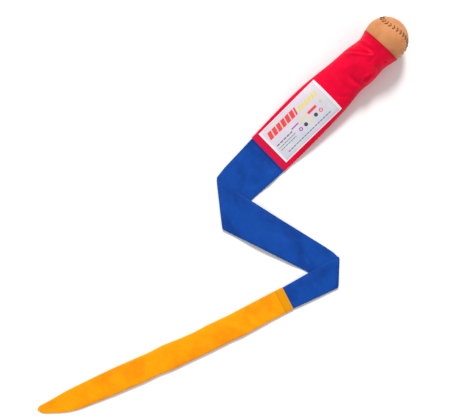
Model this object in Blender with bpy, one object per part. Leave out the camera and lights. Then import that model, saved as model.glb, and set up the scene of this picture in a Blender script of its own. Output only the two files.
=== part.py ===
"""A throwing ball with a tail: a stitched leather ball sewn into the mouth of a long nylon tube.

Metres, +Z up. The object lies on the plane z = 0 and its origin is under the middle of its box.
The tail leaves the ball as a red tent that flattens to a seam. A tapering blue sleeve follows, folded
over itself twice, and a yellow sleeve with a closed tip ends it. Each stretch of fabric is a
thin-walled tube, so the sleeves fit into one another where they are sewn together.
"""
import math

import bmesh
import bpy
import numpy as np
from mathutils import Euler, Matrix, Vector

# ---- Ball -------------------------------------------------------------------------------------
BALL_DIAMETER = 0.0730
CORE_DIAMETER = 0.0300        # cork and rubber pill in the middle
NEEDLE_CHANNEL = 0.0030       # channel that the winding needle leaves in the yarn
LEATHER_THICKNESS = 0.0016
SEAM_GAP = 0.00035            # between the two leather panels
SEAM_SINK = 0.0010            # the stitching pulls the leather down by this
SEAM_BAND = 0.0032            # half width of the sunk band
SEAM_EDGE = 0.0050            # the leather is back at full height this far from the seam
LACING_THREAD = 0.0007
LACING_REACH = 0.0022         # from the seam to the needle holes
LACING_PITCH = 0.0062
SEAM_SHAPE = 0.740            # share of the slow wave in the seam curve, 0.5 to 1
BALL_TURN = (math.radians(122.5), math.radians(-11.5), math.radians(41.5))

# ---- Fabric and thread ------------------------------------------------------------------------
WALL = 0.0005                 # nylon with its coating and turnings
FIT = 0.0003                  # clearance between pieces that touch
SEWING_THREAD = 0.0004
LAP = 0.013                   # seam allowance, inside the next sleeve
HEM = 0.016                   # the red sleeve is flat over this length at its seam

# ---- Red sleeve, measured along the ground from under the ball's centre ------------------------
TAIL_HEADING = math.radians(224.3)
MOUTH_BEHIND = 0.012          # the mouth ring is this far behind the ball's centre
MOUTH_CLEARANCE = 0.0008
MOUTH_STITCH = 0.003          # from the mouth's edge to its ring of stitches
WAIST_BEHIND = 0.040
WAIST_WIDTH = 0.0655
BELLY_BEHIND = 0.192
BELLY_WIDTH = 0.0800
RED_END = 0.2653
RED_END_WIDTH = 0.0770
RED_END_HEIGHT = 0.0050
NECK_AXIS = 0.062             # the tail bends against the ball here
NECK_REACH = 0.020            # half length of the stretch that bends

# ---- Label, sewn on top of the red sleeve ------------------------------------------------------
LABEL_END_MARGIN = 0.0095     # from the red sleeve's end to the label
LABEL_LENGTH = 0.1240
LABEL_SIDE_MARGIN = 0.0060    # from the label to the sleeve's edge, at the sleeve's end
LABEL_THICKNESS = 0.0004
LABEL_STITCH = 0.0025         # from the label's edge to its stitching

# ---- Blue sleeve, with its lengths along the centreline ----------------------------------------
BLUE_FIRST_LENGTH = 0.1105
BLUE_SECOND_LENGTH = 0.2267
BLUE_THIRD_LENGTH = 0.0929
FIRST_FOLD = math.radians(96.6)     # direction of the fold line on the ground
SECOND_FOLD = math.radians(88.1)
FOLD_THICKNESS = 0.0020             # of one folded layer
FULL_THICKNESS = 0.0045             # where air keeps the sleeve open
COVER_MARGIN = 0.003                # the thin stretch runs past the overlap by this
RISE_LENGTH = 0.032                 # over which a sleeve goes from thin to full
DROP_LENGTH = 0.047                 # over which the upper layer comes down to the ground
JOINT_STITCH = 0.004                # from the red hem to the row of stitches on the blue sleeve

# ---- Yellow sleeve -----------------------------------------------------------------------------
YELLOW_WIDTH = 0.0405
YELLOW_HEIGHT = 0.0046
YELLOW_LENGTH = 0.4470
CUFF_LENGTH = 0.0240                # sewn to the blue end and stiffened by it
BEND_REACH = 0.0100                 # half length of the stretch that bends behind the cuff
CURVE_START = 0.1200                # the sleeve lies straight up to here
CURVE_LENGTH = 0.0600
CURVE_TURN = math.radians(-3.2)
TAPER_START = 0.300
TIP_CURVE = 0.0620                  # length of the rounded corner at the tip
TIP_SHOULDER = 0.0170               # half width where the taper ends
TIP_WIDTH = 0.0090
TIP_HEIGHT = 0.0022
TIP_STITCH = 0.004

# ---- Fineness ----------------------------------------------------------------------------------
ACROSS = (0.0, 0.35, 0.65, 0.87, 0.97)     # where a section has points, as shares of its half width
FLAT_SHARE = 0.66                          # the section is exactly flat inside this share
ROUND = 2.0                                # squareness of a round section
FLAT = 6.0                                 # squareness of a flat section with soft edges
PANEL_ROWS = 28
BALL_STEPS = 24
SEAM_SAMPLES = 720

RADIUS = BALL_DIAMETER / 2
LAP_LIFT = WALL + FIT
LABEL_WIDTH = RED_END_WIDTH - 2 * LABEL_SIDE_MARGIN


# ---- Small tools -------------------------------------------------------------------------------
def mix(a, b, share):
    return a + (b - a) * share


def ease(x, low, high):
    """0 below low, 1 above high, with a smooth rise between them."""
    share = min(max((x - low) / (high - low), 0.0), 1.0)
    return share * share * (3 - 2 * share)


def material(name, colour, roughness, metallic=0.0):
    """A Principled material; colour is an sRGB hex string."""
    parts = [int(colour[i:i + 2], 16) / 255 for i in (0, 2, 4)]
    linear = [p / 12.92 if p <= 0.04045 else ((p + 0.055) / 1.055) ** 2.4 for p in parts]
    mat = bpy.data.materials.new(name)
    mat.use_nodes = True
    shader = mat.node_tree.nodes["Principled BSDF"]
    shader.inputs["Base Color"].default_value = (*linear, 1)
    shader.inputs["Roughness"].default_value = roughness
    shader.inputs["Metallic"].default_value = metallic
    mat.diffuse_color = (*linear, 1)
    return mat


class Pivot:
    """An empty on a joint's axis. Pieces are modelled in place and hung from it."""

    def __init__(self, name, place, parent=None):
        self.place = Vector(place)
        self.empty = bpy.data.objects.new(name, None)
        self.empty.empty_display_size = 0.02
        bpy.context.collection.objects.link(self.empty)
        self.empty.location = self.place
        if parent:
            self.empty.parent = parent.empty
            self.empty.location = self.place - parent.place

    def hang(self, obj):
        """Take an object modelled in world coordinates and hang it from this pivot."""
        obj.data.transform(Matrix.Translation(-self.place))
        obj.parent = self.empty
        bpy.context.collection.objects.link(obj)
        return obj


def mesh_piece(name, points, faces, mat, smooth_angle=math.radians(40)):
    """A closed mesh with its faces turned outward."""
    mesh = bpy.data.meshes.new(name)
    mesh.from_pydata([tuple(p) for p in points], [], faces)
    bm = bmesh.new()
    bm.from_mesh(mesh)
    bmesh.ops.recalc_face_normals(bm, faces=bm.faces)
    bm.to_mesh(mesh)
    bm.free()
    mesh.shade_smooth()
    mesh.set_sharp_from_angle(angle=smooth_angle)
    mesh.materials.append(mat)
    return bpy.data.objects.new(name, mesh)


def thread_piece(name, points, diameter, mat, closed):
    """A thread along a list of points."""
    curve = bpy.data.curves.new(name, "CURVE")
    curve.dimensions = "3D"
    curve.bevel_depth = diameter / 2
    curve.bevel_resolution = 0
    curve.use_fill_caps = not closed
    spline = curve.splines.new("POLY")
    spline.points.add(len(points) - 1)
    for target, point in zip(spline.points, points):
        target.co = (*point, 1)
    spline.use_cyclic_u = closed
    curve.materials.append(mat)
    return bpy.data.objects.new(name, curve)


def loft(name, rings, mat):
    """A solid through closed rings of equal length, with flat ends."""
    count = len(rings[0])
    points = [p for ring in rings for p in ring]
    faces = []
    for row in range(len(rings) - 1):
        for i in range(count):
            j = (i + 1) % count
            faces.append((row * count + i, row * count + j, (row + 1) * count + j, (row + 1) * count + i))
    faces.append(tuple(range(count)))
    faces.append(tuple(range((len(rings) - 1) * count, len(rings) * count)))
    return mesh_piece(name, points, faces, mat)


def section(squareness):
    """Points round a section of half width 1 and half height 1, from round (2) to nearly square."""
    shares = [-s for s in reversed(ACROSS[1:])] + list(ACROSS)
    top = []
    for share in shares:
        height = (1 - abs(share) ** squareness) ** (1 / squareness)
        if squareness >= FLAT and abs(share) < FLAT_SHARE:
            height = 1.0
        top.append((share, height))
    bottom = [(share, -height) for share, height in reversed(top)]
    return [(-1.0, 0.0)] + top + [(1.0, 0.0)] + bottom


def tube(name, shape, stations, mat):
    """A thin-walled open tube. shape(station, inset) gives the section's ring, inset from its outside."""
    rings = []
    for station in stations:
        rings.append((shape(station, 0.0), shape(station, WALL)))
    count = len(rings[0][0])
    points = [p for outer, inner in rings for p in outer + inner]
    faces = []

    def index(row, layer, i):
        return (row * 2 + layer) * count + i % count

    for i in range(count):
        for row in range(len(rings) - 1):
            for layer in (0, 1):
                faces.append((index(row, layer, i), index(row, layer, i + 1),
                              index(row + 1, layer, i + 1), index(row + 1, layer, i)))
        for row in (0, len(rings) - 1):
            faces.append((index(row, 0, i), index(row, 0, i + 1), index(row, 1, i + 1), index(row, 1, i)))
    return mesh_piece(name, points, faces, mat)


def spread(start, end, step):
    """Evenly spaced stations from start to end, no further apart than step."""
    count = max(1, math.ceil((end - start) / step))
    return [mix(start, end, i / count) for i in range(count + 1)]


# ---- How the tail lies -------------------------------------------------------------------------
class Lay:
    """A straight stretch of tail on the ground: along it to the tip, and across it to its sewn edge."""

    def __init__(self, start, heading, side):
        self.start = Vector(start)
        self.heading = heading
        self.side = side
        self.forward = Vector((math.cos(heading), math.sin(heading)))
        self.sideways = Vector((-math.sin(heading), math.cos(heading))) * side

    def point(self, along, across):
        return self.start + self.forward * along + self.sideways * across

    def folded(self, along, line):
        """The stretch after a fold at this length, over a fold line with this direction."""
        return Lay(self.point(along, 0), 2 * line - self.heading, -self.side)

    def angle_to(self, line):
        return self.side * (line - self.heading)

    def slant(self, line):
        """How far a fold line moves along the tail for each metre across it."""
        return 1 / math.tan(self.angle_to(line))


class Fold:
    """A fold line: both layers lie on its clear side, the upper one on top of the lower."""

    def __init__(self, lay, along, line, half_width):
        self.centre = lay.point(along, 0)
        self.direction = Vector((math.cos(line), math.sin(line)))
        self.clear_side = Vector((math.sin(line), -math.cos(line)))
        if self.clear_side.dot(lay.forward) > 0:
            self.clear_side.negate()
        angle = lay.angle_to(line)
        self.trim = FIT / 2 / abs(math.sin(angle))
        self.half_length = half_width / abs(math.sin(angle))
        self.overlap = half_width / abs(math.cos(angle)) + COVER_MARGIN
        self.height = FOLD_THICKNESS + FIT / 2

    def distance(self, point):
        return (point - self.centre).dot(self.clear_side)

    def axis_point(self):
        return (*self.centre, self.height)


BALL_PLACE = Vector((0.0, 0.0, RADIUS))
RED_LAY = Lay((0, 0), TAIL_HEADING, 1)
BLUE_FIRST_LAY = Lay(RED_LAY.point(RED_END, 0), TAIL_HEADING, 1)
BLUE_SECOND_LAY = BLUE_FIRST_LAY.folded(BLUE_FIRST_LENGTH, FIRST_FOLD)
BLUE_THIRD_LAY = BLUE_SECOND_LAY.folded(BLUE_SECOND_LENGTH, SECOND_FOLD)
YELLOW_LAY = Lay(BLUE_THIRD_LAY.point(BLUE_THIRD_LENGTH, 0), BLUE_THIRD_LAY.heading, BLUE_THIRD_LAY.side)

BLUE_LENGTH = BLUE_FIRST_LENGTH + BLUE_SECOND_LENGTH + BLUE_THIRD_LENGTH
BLUE_START_HALF = RED_END_WIDTH / 2 - LAP_LIFT
BLUE_END_HALF = YELLOW_WIDTH / 2 - LAP_LIFT
BLUE_START_HEIGHT = RED_END_HEIGHT - 2 * LAP_LIFT
BLUE_END_HEIGHT = YELLOW_HEIGHT - 2 * LAP_LIFT


def blue_half_width(travel):
    """Half width of the blue sleeve at a length measured from its start."""
    return mix(BLUE_START_HALF, BLUE_END_HALF, min(max(travel / BLUE_LENGTH, 0.0), 1.0))


FIRST = Fold(BLUE_FIRST_LAY, BLUE_FIRST_LENGTH, FIRST_FOLD, blue_half_width(BLUE_FIRST_LENGTH))
SECOND = Fold(BLUE_SECOND_LAY, BLUE_SECOND_LENGTH, SECOND_FOLD,
              blue_half_width(BLUE_FIRST_LENGTH + BLUE_SECOND_LENGTH))
LAYER = FOLD_THICKNESS + FIT


# ---- Ball --------------------------------------------------------------------------------------
def seam_point(t):
    """The seam on a sphere of radius 1, t from 0 to one full turn."""
    slow = SEAM_SHAPE
    fast = 1 - SEAM_SHAPE
    depth = 2 * math.sqrt(slow * fast)
    return Vector((slow * math.sin(t) + fast * math.sin(3 * t),
                   slow * math.cos(t) - fast * math.cos(3 * t),
                   depth * math.cos(2 * t)))


def seam_across(t):
    """Unit vector on the sphere, across the seam and into the panel with its neck at +Z."""
    step = 0.001
    point = seam_point(t)
    across = (seam_point(t + step) - seam_point(t - step)).cross(point).normalized()
    return across if across.dot(Vector((point.x, 0, point.z))) > across.dot(Vector((0, point.y, 0))) else -across


SEAM_LINE = np.array([seam_point(2 * math.pi * i / SEAM_SAMPLES) for i in range(SEAM_SAMPLES)])


def sunk_radius(direction):
    """Radius of the leather's outside: lower beside the seam."""
    nearest = np.linalg.norm(SEAM_LINE - np.array(direction), axis=1).min() * RADIUS
    return RADIUS - SEAM_SINK * (1 - ease(nearest, SEAM_BAND, SEAM_EDGE))


def panel_row(t):
    """Directions across the panel at one place along it, from seam to seam."""
    edge = seam_point(t)
    half_arc = math.asin(edge.y) * RADIUS
    band = min(SEAM_BAND, 0.3 * half_arc)
    foot = min(SEAM_EDGE, 0.5 * half_arc)
    offsets = [half_arc - band, half_arc - foot, (half_arc - foot) / 2]
    shares = [o / half_arc for o in offsets]
    row = []
    for share in shares + [0.0] + [-s for s in reversed(shares)]:
        y = share * edge.y
        reach = math.sqrt((1 - y * y) / (edge.x ** 2 + edge.z ** 2))
        row.append(Vector((edge.x * reach, y, edge.z * reach)))
    inset = seam_across(t) * (SEAM_GAP / 2 / RADIUS)
    near = (edge + inset).normalized()
    return [near] + row + [Vector((near.x, -near.y, near.z))]


def panel_tip(side):
    """Direction of the middle of one of the panel's two round ends."""
    end = seam_point(math.pi / 2)
    inward = Vector((-end.z, 0, end.x)).normalized()
    if inward.x < 0:
        inward.negate()
    tip = (end + inward * (SEAM_GAP / 2 / RADIUS)).normalized()
    return Vector((side * tip.x, 0, tip.z))


def cover_panel(name, mat):
    """One figure-of-eight leather panel, round the ball's own centre."""
    rows = [panel_row(math.pi * (i / PANEL_ROWS - 0.5)) for i in range(1, PANEL_ROWS)]
    width = len(rows[0])
    directions = [d for row in rows for d in row] + [panel_tip(-1), panel_tip(1)]
    outer = [d * sunk_radius(d) for d in directions]
    inner = [d * (RADIUS - LEATHER_THICKNESS) for d in directions]
    total = len(directions)
    faces = []
    for layer in (0, total):
        for r in range(len(rows) - 1):
            for c in range(width - 1):
                a = layer + r * width + c
                faces.append((a, a + 1, a + width + 1, a + width))
        last = (len(rows) - 1) * width
        for c in range(width - 1):
            faces.append((layer + c, layer + c + 1, layer + total - 2))
            faces.append((layer + last + c, layer + last + c + 1, layer + total - 1))
    left = [r * width for r in range(len(rows))]
    right = [r * width + width - 1 for r in range(len(rows))]
    loop = left + [total - 1] + right[::-1] + [total - 2]
    for i, a in enumerate(loop):
        b = loop[(i + 1) % len(loop)]
        faces.append((a, b, b + total, a + total))
    return mesh_piece(name, outer + inner, faces, mat)


def lacing_points():
    """A zigzag of thread over the seam, at an even pitch."""
    line = np.vstack([SEAM_LINE, SEAM_LINE[:1]]) * RADIUS
    travel = np.concatenate([[0], np.cumsum(np.linalg.norm(np.diff(line, axis=0), axis=1))])
    stitches = 2 * round(travel[-1] / LACING_PITCH)
    height = RADIUS - SEAM_SINK + FIT + LACING_THREAD / 2
    points = []
    for i in range(stitches):
        t = 2 * math.pi * np.interp(travel[-1] * i / stitches, travel, np.arange(len(travel))) / SEAM_SAMPLES
        centre = seam_point(t)
        across = seam_across(t) * (LACING_REACH / RADIUS * (1 if i % 2 else -1))
        points.append((centre + across).normalized() * height)
    return points


def core_winding(name, mat):
    """The yarn winding: a thick shell round the pill, with the needle's channel at its top."""
    inner = CORE_DIAMETER / 2 + FIT
    outer = RADIUS - LEATHER_THICKNESS - FIT - WALL
    channel = NEEDLE_CHANNEL / 2
    profile = []
    for radius, turn in ((outer, 1), (inner, -1)):
        start = math.asin(channel / radius)
        arc = [mix(start, math.pi, i / (BALL_STEPS // 2)) for i in range(BALL_STEPS // 2 + 1)]
        for angle in arc[::turn]:
            profile.append((radius * math.sin(angle), radius * math.cos(angle)))
    mesh = bpy.data.meshes.new(name)
    bm = bmesh.new()
    verts = [bm.verts.new((r, 0, z)) for r, z in profile]
    half = len(verts) // 2
    edges = [bm.edges.new(pair) for pair in zip(verts, verts[1:]) if pair[0] is not verts[half - 1]]
    edges.append(bm.edges.new((verts[-1], verts[0])))
    bmesh.ops.spin(bm, geom=verts + edges, cent=(0, 0, 0), axis=(0, 0, 1), angle=math.tau, steps=BALL_STEPS,
                   use_duplicate=False)
    bmesh.ops.remove_doubles(bm, verts=bm.verts, dist=1e-6)
    bmesh.ops.recalc_face_normals(bm, faces=bm.faces)
    bm.to_mesh(mesh)
    bm.free()
    mesh.shade_smooth()
    mesh.set_sharp_from_angle(angle=math.radians(40))
    mesh.materials.append(mat)
    return bpy.data.objects.new(name, mesh)


def ball_core(name, mat):
    mesh = bpy.data.meshes.new(name)
    bm = bmesh.new()
    bmesh.ops.create_uvsphere(bm, u_segments=BALL_STEPS, v_segments=BALL_STEPS // 2, radius=CORE_DIAMETER / 2)
    bm.to_mesh(mesh)
    bm.free()
    mesh.shade_smooth()
    mesh.materials.append(mat)
    return bpy.data.objects.new(name, mesh)


def build_ball(head, mats):
    """The ball's pieces are modelled round its centre, which is the head's pivot, and then turned."""
    turn = Euler(BALL_TURN, "XYZ").to_matrix().to_4x4()
    swap = Matrix.Rotation(math.pi, 4, Vector((1, 1, 0)).normalized())
    panel = cover_panel("cover_panel_a", mats["leather"])
    other = bpy.data.objects.new("cover_panel_b", panel.data)
    lacing = thread_piece("cover_lacing", lacing_points(), LACING_THREAD, mats["lacing"], closed=True)
    pieces = [
        (ball_core("ball_core", mats["cork"]), Matrix()),
        (core_winding("core_winding", mats["yarn"]), Matrix()),
        (panel, Matrix()),
        (other, swap),
        (lacing, Matrix()),
    ]
    for obj, own_turn in pieces:
        obj.parent = head.empty
        obj.matrix_local = turn @ own_turn
        bpy.context.collection.objects.link(obj)


# ---- Red sleeve --------------------------------------------------------------------------------
MOUTH_RADIUS = math.sqrt(RADIUS ** 2 - MOUTH_BEHIND ** 2) + MOUTH_CLEARANCE + WALL


def red_half_width(behind):
    """Round at the mouth, pinched behind the ball, wider in the middle."""
    marks = ((MOUTH_BEHIND, MOUTH_RADIUS), (WAIST_BEHIND, WAIST_WIDTH / 2),
             (BELLY_BEHIND, BELLY_WIDTH / 2), (RED_END, RED_END_WIDTH / 2))
    for (start, first), (end, second) in zip(marks, marks[1:]):
        if behind <= end:
            return mix(first, second, ease(behind, start, end))
    return RED_END_WIDTH / 2


def red_share(behind):
    return min(max((behind - MOUTH_BEHIND) / (RED_END - HEM - MOUTH_BEHIND), 0.0), 1.0)


def red_height(behind):
    """The fabric falls in a straight line from the top of the mouth to the seam."""
    return mix(2 * MOUTH_RADIUS, RED_END_HEIGHT, red_share(behind))


def red_base(behind):
    """Height of the sleeve's underside above the ground."""
    return (RADIUS - MOUTH_RADIUS) * (1 - ease(behind, MOUTH_BEHIND + 2 * MOUTH_STITCH, NECK_AXIS))


def red_squareness(behind):
    return mix(ROUND, FLAT, ease(red_share(behind), 0.3, 1.0) ** 2)


def red_ring(behind, inset):
    half = red_half_width(behind) - inset
    height = red_height(behind)
    middle = red_base(behind) + height / 2
    ring = []
    for share, level in section(red_squareness(behind)):
        place = RED_LAY.point(behind, share * half)
        ring.append(Vector((*place, middle + level * (height / 2 - inset))))
    return ring


def red_top(behind, across, lift):
    """A point above the red sleeve's top."""
    squareness = red_squareness(behind)
    share = min(abs(across) / red_half_width(behind), 1.0)
    level = (1 - share ** squareness) ** (1 / squareness)
    height = red_base(behind) + red_height(behind) / 2 * (1 + level)
    return Vector((*RED_LAY.point(behind, across), height + lift))


def build_red(head, upper, mats):
    step = 0.022
    collar_end = NECK_AXIS - NECK_REACH
    sleeve_start = NECK_AXIS + NECK_REACH
    head.hang(tube("red_collar", red_ring, spread(MOUTH_BEHIND, collar_end, 0.008), mats["red"]))
    head.hang(tube("red_neck", red_ring, spread(collar_end + FIT, sleeve_start - FIT, 0.010), mats["red"]))
    stations = spread(sleeve_start, RED_END - HEM, step) + [RED_END]
    upper.hang(tube("red_sleeve", red_ring, stations, mats["red"]))
    off = -(FIT + SEWING_THREAD / 2)
    mouth = red_ring(MOUTH_BEHIND + MOUTH_STITCH, off)
    head.hang(thread_piece("mouth_thread", mouth, SEWING_THREAD, mats["thread"], closed=True))
    edge = []
    for behind in spread(sleeve_start + LAP, RED_END - LAP, step):
        across = red_half_width(behind) - off
        height = red_base(behind) + red_height(behind) / 2
        edge.append(Vector((*RED_LAY.point(behind, across), height)))
    upper.hang(thread_piece("red_side_thread", edge, SEWING_THREAD, mats["thread"], closed=False))


def build_label(upper, mats):
    """The label and its border stitching share their stations and columns, so they lie parallel."""
    end = RED_END - LABEL_END_MARGIN
    start = end - LABEL_LENGTH
    first, last = start + LABEL_STITCH, end - LABEL_STITCH
    side = LABEL_WIDTH / 2 - LABEL_STITCH
    along = spread(first, RED_END - HEM, 0.016) + [last]
    across = spread(-side, side, 0.0055)
    columns = [-LABEL_WIDTH / 2] + across + [LABEL_WIDTH / 2]
    rings = []
    for behind in [start] + along + [end]:
        low = [red_top(behind, c, FIT) for c in columns]
        high = [red_top(behind, c, FIT + LABEL_THICKNESS) for c in reversed(columns)]
        rings.append(low + high)
    upper.hang(loft("label", rings, mats["label"]))
    route = [(behind, -side) for behind in along] + [(last, c) for c in across[1:]]
    route += [(behind, side) for behind in along[-2::-1]] + [(first, c) for c in across[-2:0:-1]]
    lift = 2 * FIT + LABEL_THICKNESS + SEWING_THREAD / 2
    points = [red_top(behind, c, lift) for behind, c in route]
    upper.hang(thread_piece("label_thread", points, SEWING_THREAD, mats["thread"], closed=True))


# ---- Blue sleeve -------------------------------------------------------------------------------
class BlueRun:
    """One straight stretch of the blue sleeve, between seams or folds."""

    def __init__(self, lay, travel, slants, levels):
        self.lay = lay
        self.travel = travel        # length of sleeve before this stretch
        self.slants = slants        # ((along, slant), (along, slant)): how its sections turn to the folds
        self.levels = levels        # levels(along, point) gives the underside's height and the thickness

    def slant(self, along):
        (start, first), (end, last) = self.slants
        return mix(first, last, min(max((along - start) / (end - start), 0.0), 1.0))

    def half_width(self, along):
        return blue_half_width(self.travel + along)

    def ring(self, along, inset):
        slant = self.slant(along)
        ring = []
        for share, level in section(FLAT):
            across = 0.0
            for _ in range(3):
                across = share * (self.half_width(along + slant * across) - inset)
            ring.append(self.point(along + slant * across, across, level, inset))
        return ring

    def point(self, along, across, level, inset):
        place = self.lay.point(along, across)
        base, thickness = self.levels(along, place)
        return Vector((*place, base + thickness / 2 + level * (thickness / 2 - inset)))

    def edge_thread(self, name, start, end, mat):
        off = FIT + SEWING_THREAD / 2
        points = [self.point(a, self.half_width(a) + off, 0.0, 0.0) for a in spread(start, end, 0.02)]
        return thread_piece(name, points, SEWING_THREAD, mat, closed=False)


def first_levels(along, place):
    base = LAP_LIFT * (1 - ease(along, 2 * JOINT_STITCH, RISE_LENGTH))
    clear = FIRST.distance(place)
    free = mix(FOLD_THICKNESS, FULL_THICKNESS, ease(clear, FIRST.overlap, FIRST.overlap + RISE_LENGTH))
    return base, mix(BLUE_START_HEIGHT, free, ease(along, 2 * JOINT_STITCH, RISE_LENGTH))


def second_levels(along, place):
    clear = FIRST.distance(place)
    base = LAYER * (1 - ease(clear, FIRST.overlap, FIRST.overlap + DROP_LENGTH))
    rise = ease(clear, 0.010, FIRST.overlap)
    fall = ease(SECOND.distance(place), SECOND.overlap, SECOND.overlap + RISE_LENGTH)
    return base, mix(FOLD_THICKNESS, FULL_THICKNESS, rise * fall)


def third_levels(along, place):
    clear = SECOND.distance(place)
    base = mix(LAYER, 2 * LAP_LIFT, ease(clear, SECOND.overlap, SECOND.overlap + RISE_LENGTH))
    if along > BLUE_THIRD_LENGTH - JOINT_STITCH:
        base = 2 * LAP_LIFT
    return base, mix(FOLD_THICKNESS, BLUE_END_HEIGHT, ease(clear, 0.008, SECOND.overlap - COVER_MARGIN))


BLUE_FIRST = BlueRun(BLUE_FIRST_LAY, 0.0,
                     ((2 * JOINT_STITCH, 0.0), (BLUE_FIRST_LENGTH, BLUE_FIRST_LAY.slant(FIRST_FOLD))),
                     first_levels)
BLUE_SECOND = BlueRun(BLUE_SECOND_LAY, BLUE_FIRST_LENGTH,
                      ((0.0, BLUE_SECOND_LAY.slant(FIRST_FOLD)),
                       (BLUE_SECOND_LENGTH, BLUE_SECOND_LAY.slant(SECOND_FOLD))),
                      second_levels)
BLUE_THIRD = BlueRun(BLUE_THIRD_LAY, BLUE_FIRST_LENGTH + BLUE_SECOND_LENGTH,
                     ((0.0, BLUE_THIRD_LAY.slant(SECOND_FOLD)), (BLUE_THIRD_LENGTH - 2 * JOINT_STITCH, 0.0)),
                     third_levels)


def crease(name, fold, mat):
    """The fabric's turn round a fold line: half a thick-walled pipe, open towards the layers."""
    steps = 6
    angles = [math.pi * (0.5 + i / steps) for i in range(steps + 1)]
    outer = [(math.cos(a) * fold.height, math.sin(a) * fold.height) for a in angles]
    inner = [(math.cos(a) * FIT, math.sin(a) * FIT) for a in reversed(angles)]
    rings = []
    for share in (-0.94, -0.3, 0.3, 0.94):
        middle = fold.centre + fold.direction * (share * fold.half_length)
        ring = []
        for out, up in outer + inner:
            place = middle + fold.clear_side * (out - FIT / 2)
            ring.append(Vector((*place, fold.height + up)))
        rings.append(ring)
    return loft(name, rings, mat)


def build_blue(upper, middle, lower, mats):
    step = 0.012
    end = BLUE_FIRST_LENGTH - FIRST.trim
    upper.hang(tube("blue_upper_run", BLUE_FIRST.ring, spread(-LAP, end, step), mats["blue"]))
    upper.hang(crease("first_fold_crease", FIRST, mats["blue"]))
    upper.hang(BLUE_FIRST.edge_thread("blue_upper_side_thread", LAP, end, mats["thread"]))
    loop = BLUE_FIRST.ring(JOINT_STITCH, -(FIT + SEWING_THREAD / 2))
    upper.hang(thread_piece("red_blue_joint_thread", loop, SEWING_THREAD, mats["thread"], closed=True))

    start, end = FIRST.trim, BLUE_SECOND_LENGTH - SECOND.trim
    middle.hang(tube("blue_middle_run", BLUE_SECOND.ring, spread(start, end, step), mats["blue"]))
    middle.hang(crease("second_fold_crease", SECOND, mats["blue"]))
    middle.hang(BLUE_SECOND.edge_thread("blue_middle_side_thread", 4 * LAP, end - LAP, mats["thread"]))

    start, end = SECOND.trim, BLUE_THIRD_LENGTH + LAP
    lower.hang(tube("blue_lower_run", BLUE_THIRD.ring, spread(start, end, step), mats["blue"]))
    lower.hang(BLUE_THIRD.edge_thread("blue_lower_side_thread", 2 * LAP, BLUE_THIRD_LENGTH - JOINT_STITCH,
                                      mats["thread"]))


# ---- Yellow sleeve -----------------------------------------------------------------------------
def yellow_place(along, across):
    """Ground position on the yellow sleeve: straight, then a gentle curve, then straight again."""
    curve = min(max(along - CURVE_START, 0.0), CURVE_LENGTH)
    turn = YELLOW_LAY.side * CURVE_TURN * curve / CURVE_LENGTH
    place = YELLOW_LAY.point(min(along, CURVE_START), 0)
    if curve > 0:
        radius = CURVE_LENGTH / CURVE_TURN * YELLOW_LAY.side
        place = YELLOW_LAY.point(CURVE_START + radius * math.sin(turn),
                                 YELLOW_LAY.side * radius * (1 - math.cos(turn)))
    heading = YELLOW_LAY.heading + turn
    local = Lay(place, heading, YELLOW_LAY.side)
    return local.point(max(along - CURVE_START - CURVE_LENGTH, 0.0), across)


def yellow_edges(along):
    """Distance from the centreline to the plain edge and to the sewn edge."""
    plain = mix(YELLOW_WIDTH / 2, TIP_SHOULDER, ease(along, TAPER_START, YELLOW_LENGTH))
    share = min(max((along - YELLOW_LENGTH + TIP_CURVE) / TIP_CURVE, 0.0), 1.0)
    drop = (2 * TIP_SHOULDER - TIP_WIDTH) * (1 - math.sqrt(1 - share * share))
    return plain, plain - drop


def yellow_levels(along):
    base = LAP_LIFT * (1 - ease(along, LAP + 2 * JOINT_STITCH, CUFF_LENGTH + 4 * BEND_REACH))
    return base, mix(YELLOW_HEIGHT, TIP_HEIGHT, ease(along, TAPER_START, YELLOW_LENGTH))


def yellow_ring(along, inset):
    plain, sewn = yellow_edges(along)
    half = (plain + sewn) / 2 - inset
    base, thickness = yellow_levels(along)
    ring = []
    for share, level in section(FLAT):
        place = yellow_place(along, (sewn - plain) / 2 + share * half)
        ring.append(Vector((*place, base + thickness / 2 + level * (thickness / 2 - inset))))
    return ring


def build_yellow(lower, end_pivot, mats):
    bend_start = CUFF_LENGTH
    bend_end = CUFF_LENGTH + 2 * BEND_REACH
    lower.hang(tube("yellow_cuff", yellow_ring, spread(0.0, bend_start, 0.012), mats["yellow"]))
    lower.hang(tube("yellow_bend", yellow_ring, spread(bend_start + FIT, bend_end - FIT, 0.010), mats["yellow"]))
    body = spread(bend_end, YELLOW_LENGTH - TIP_CURVE, 0.035)
    tip = [YELLOW_LENGTH - TIP_CURVE * (1 - math.sin(math.pi / 2 * i / 5)) for i in range(1, 6)]
    end_pivot.hang(tube("yellow_sleeve", yellow_ring, body + tip, mats["yellow"]))
    off = FIT + SEWING_THREAD / 2
    loop = yellow_ring(LAP, -off)
    lower.hang(thread_piece("blue_yellow_joint_thread", loop, SEWING_THREAD, mats["thread"], closed=True))
    edge = []
    for along in spread(bend_end + LAP, YELLOW_LENGTH - TIP_CURVE, 0.03):
        base, thickness = yellow_levels(along)
        edge.append(Vector((*yellow_place(along, yellow_edges(along)[1] + off), base + thickness / 2)))
    end_pivot.hang(thread_piece("yellow_side_thread", edge, SEWING_THREAD, mats["thread"], closed=False))
    along = YELLOW_LENGTH - TIP_STITCH
    plain, sewn = yellow_edges(along)
    base, thickness = yellow_levels(along)
    bar = []
    for across in (WALL - plain * 0.9, sewn - plain * 0.1):
        bar.append(Vector((*yellow_place(along, across), base + thickness + off)))
    end_pivot.hang(thread_piece("tip_thread", bar, SEWING_THREAD, mats["thread"], closed=False))


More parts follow.
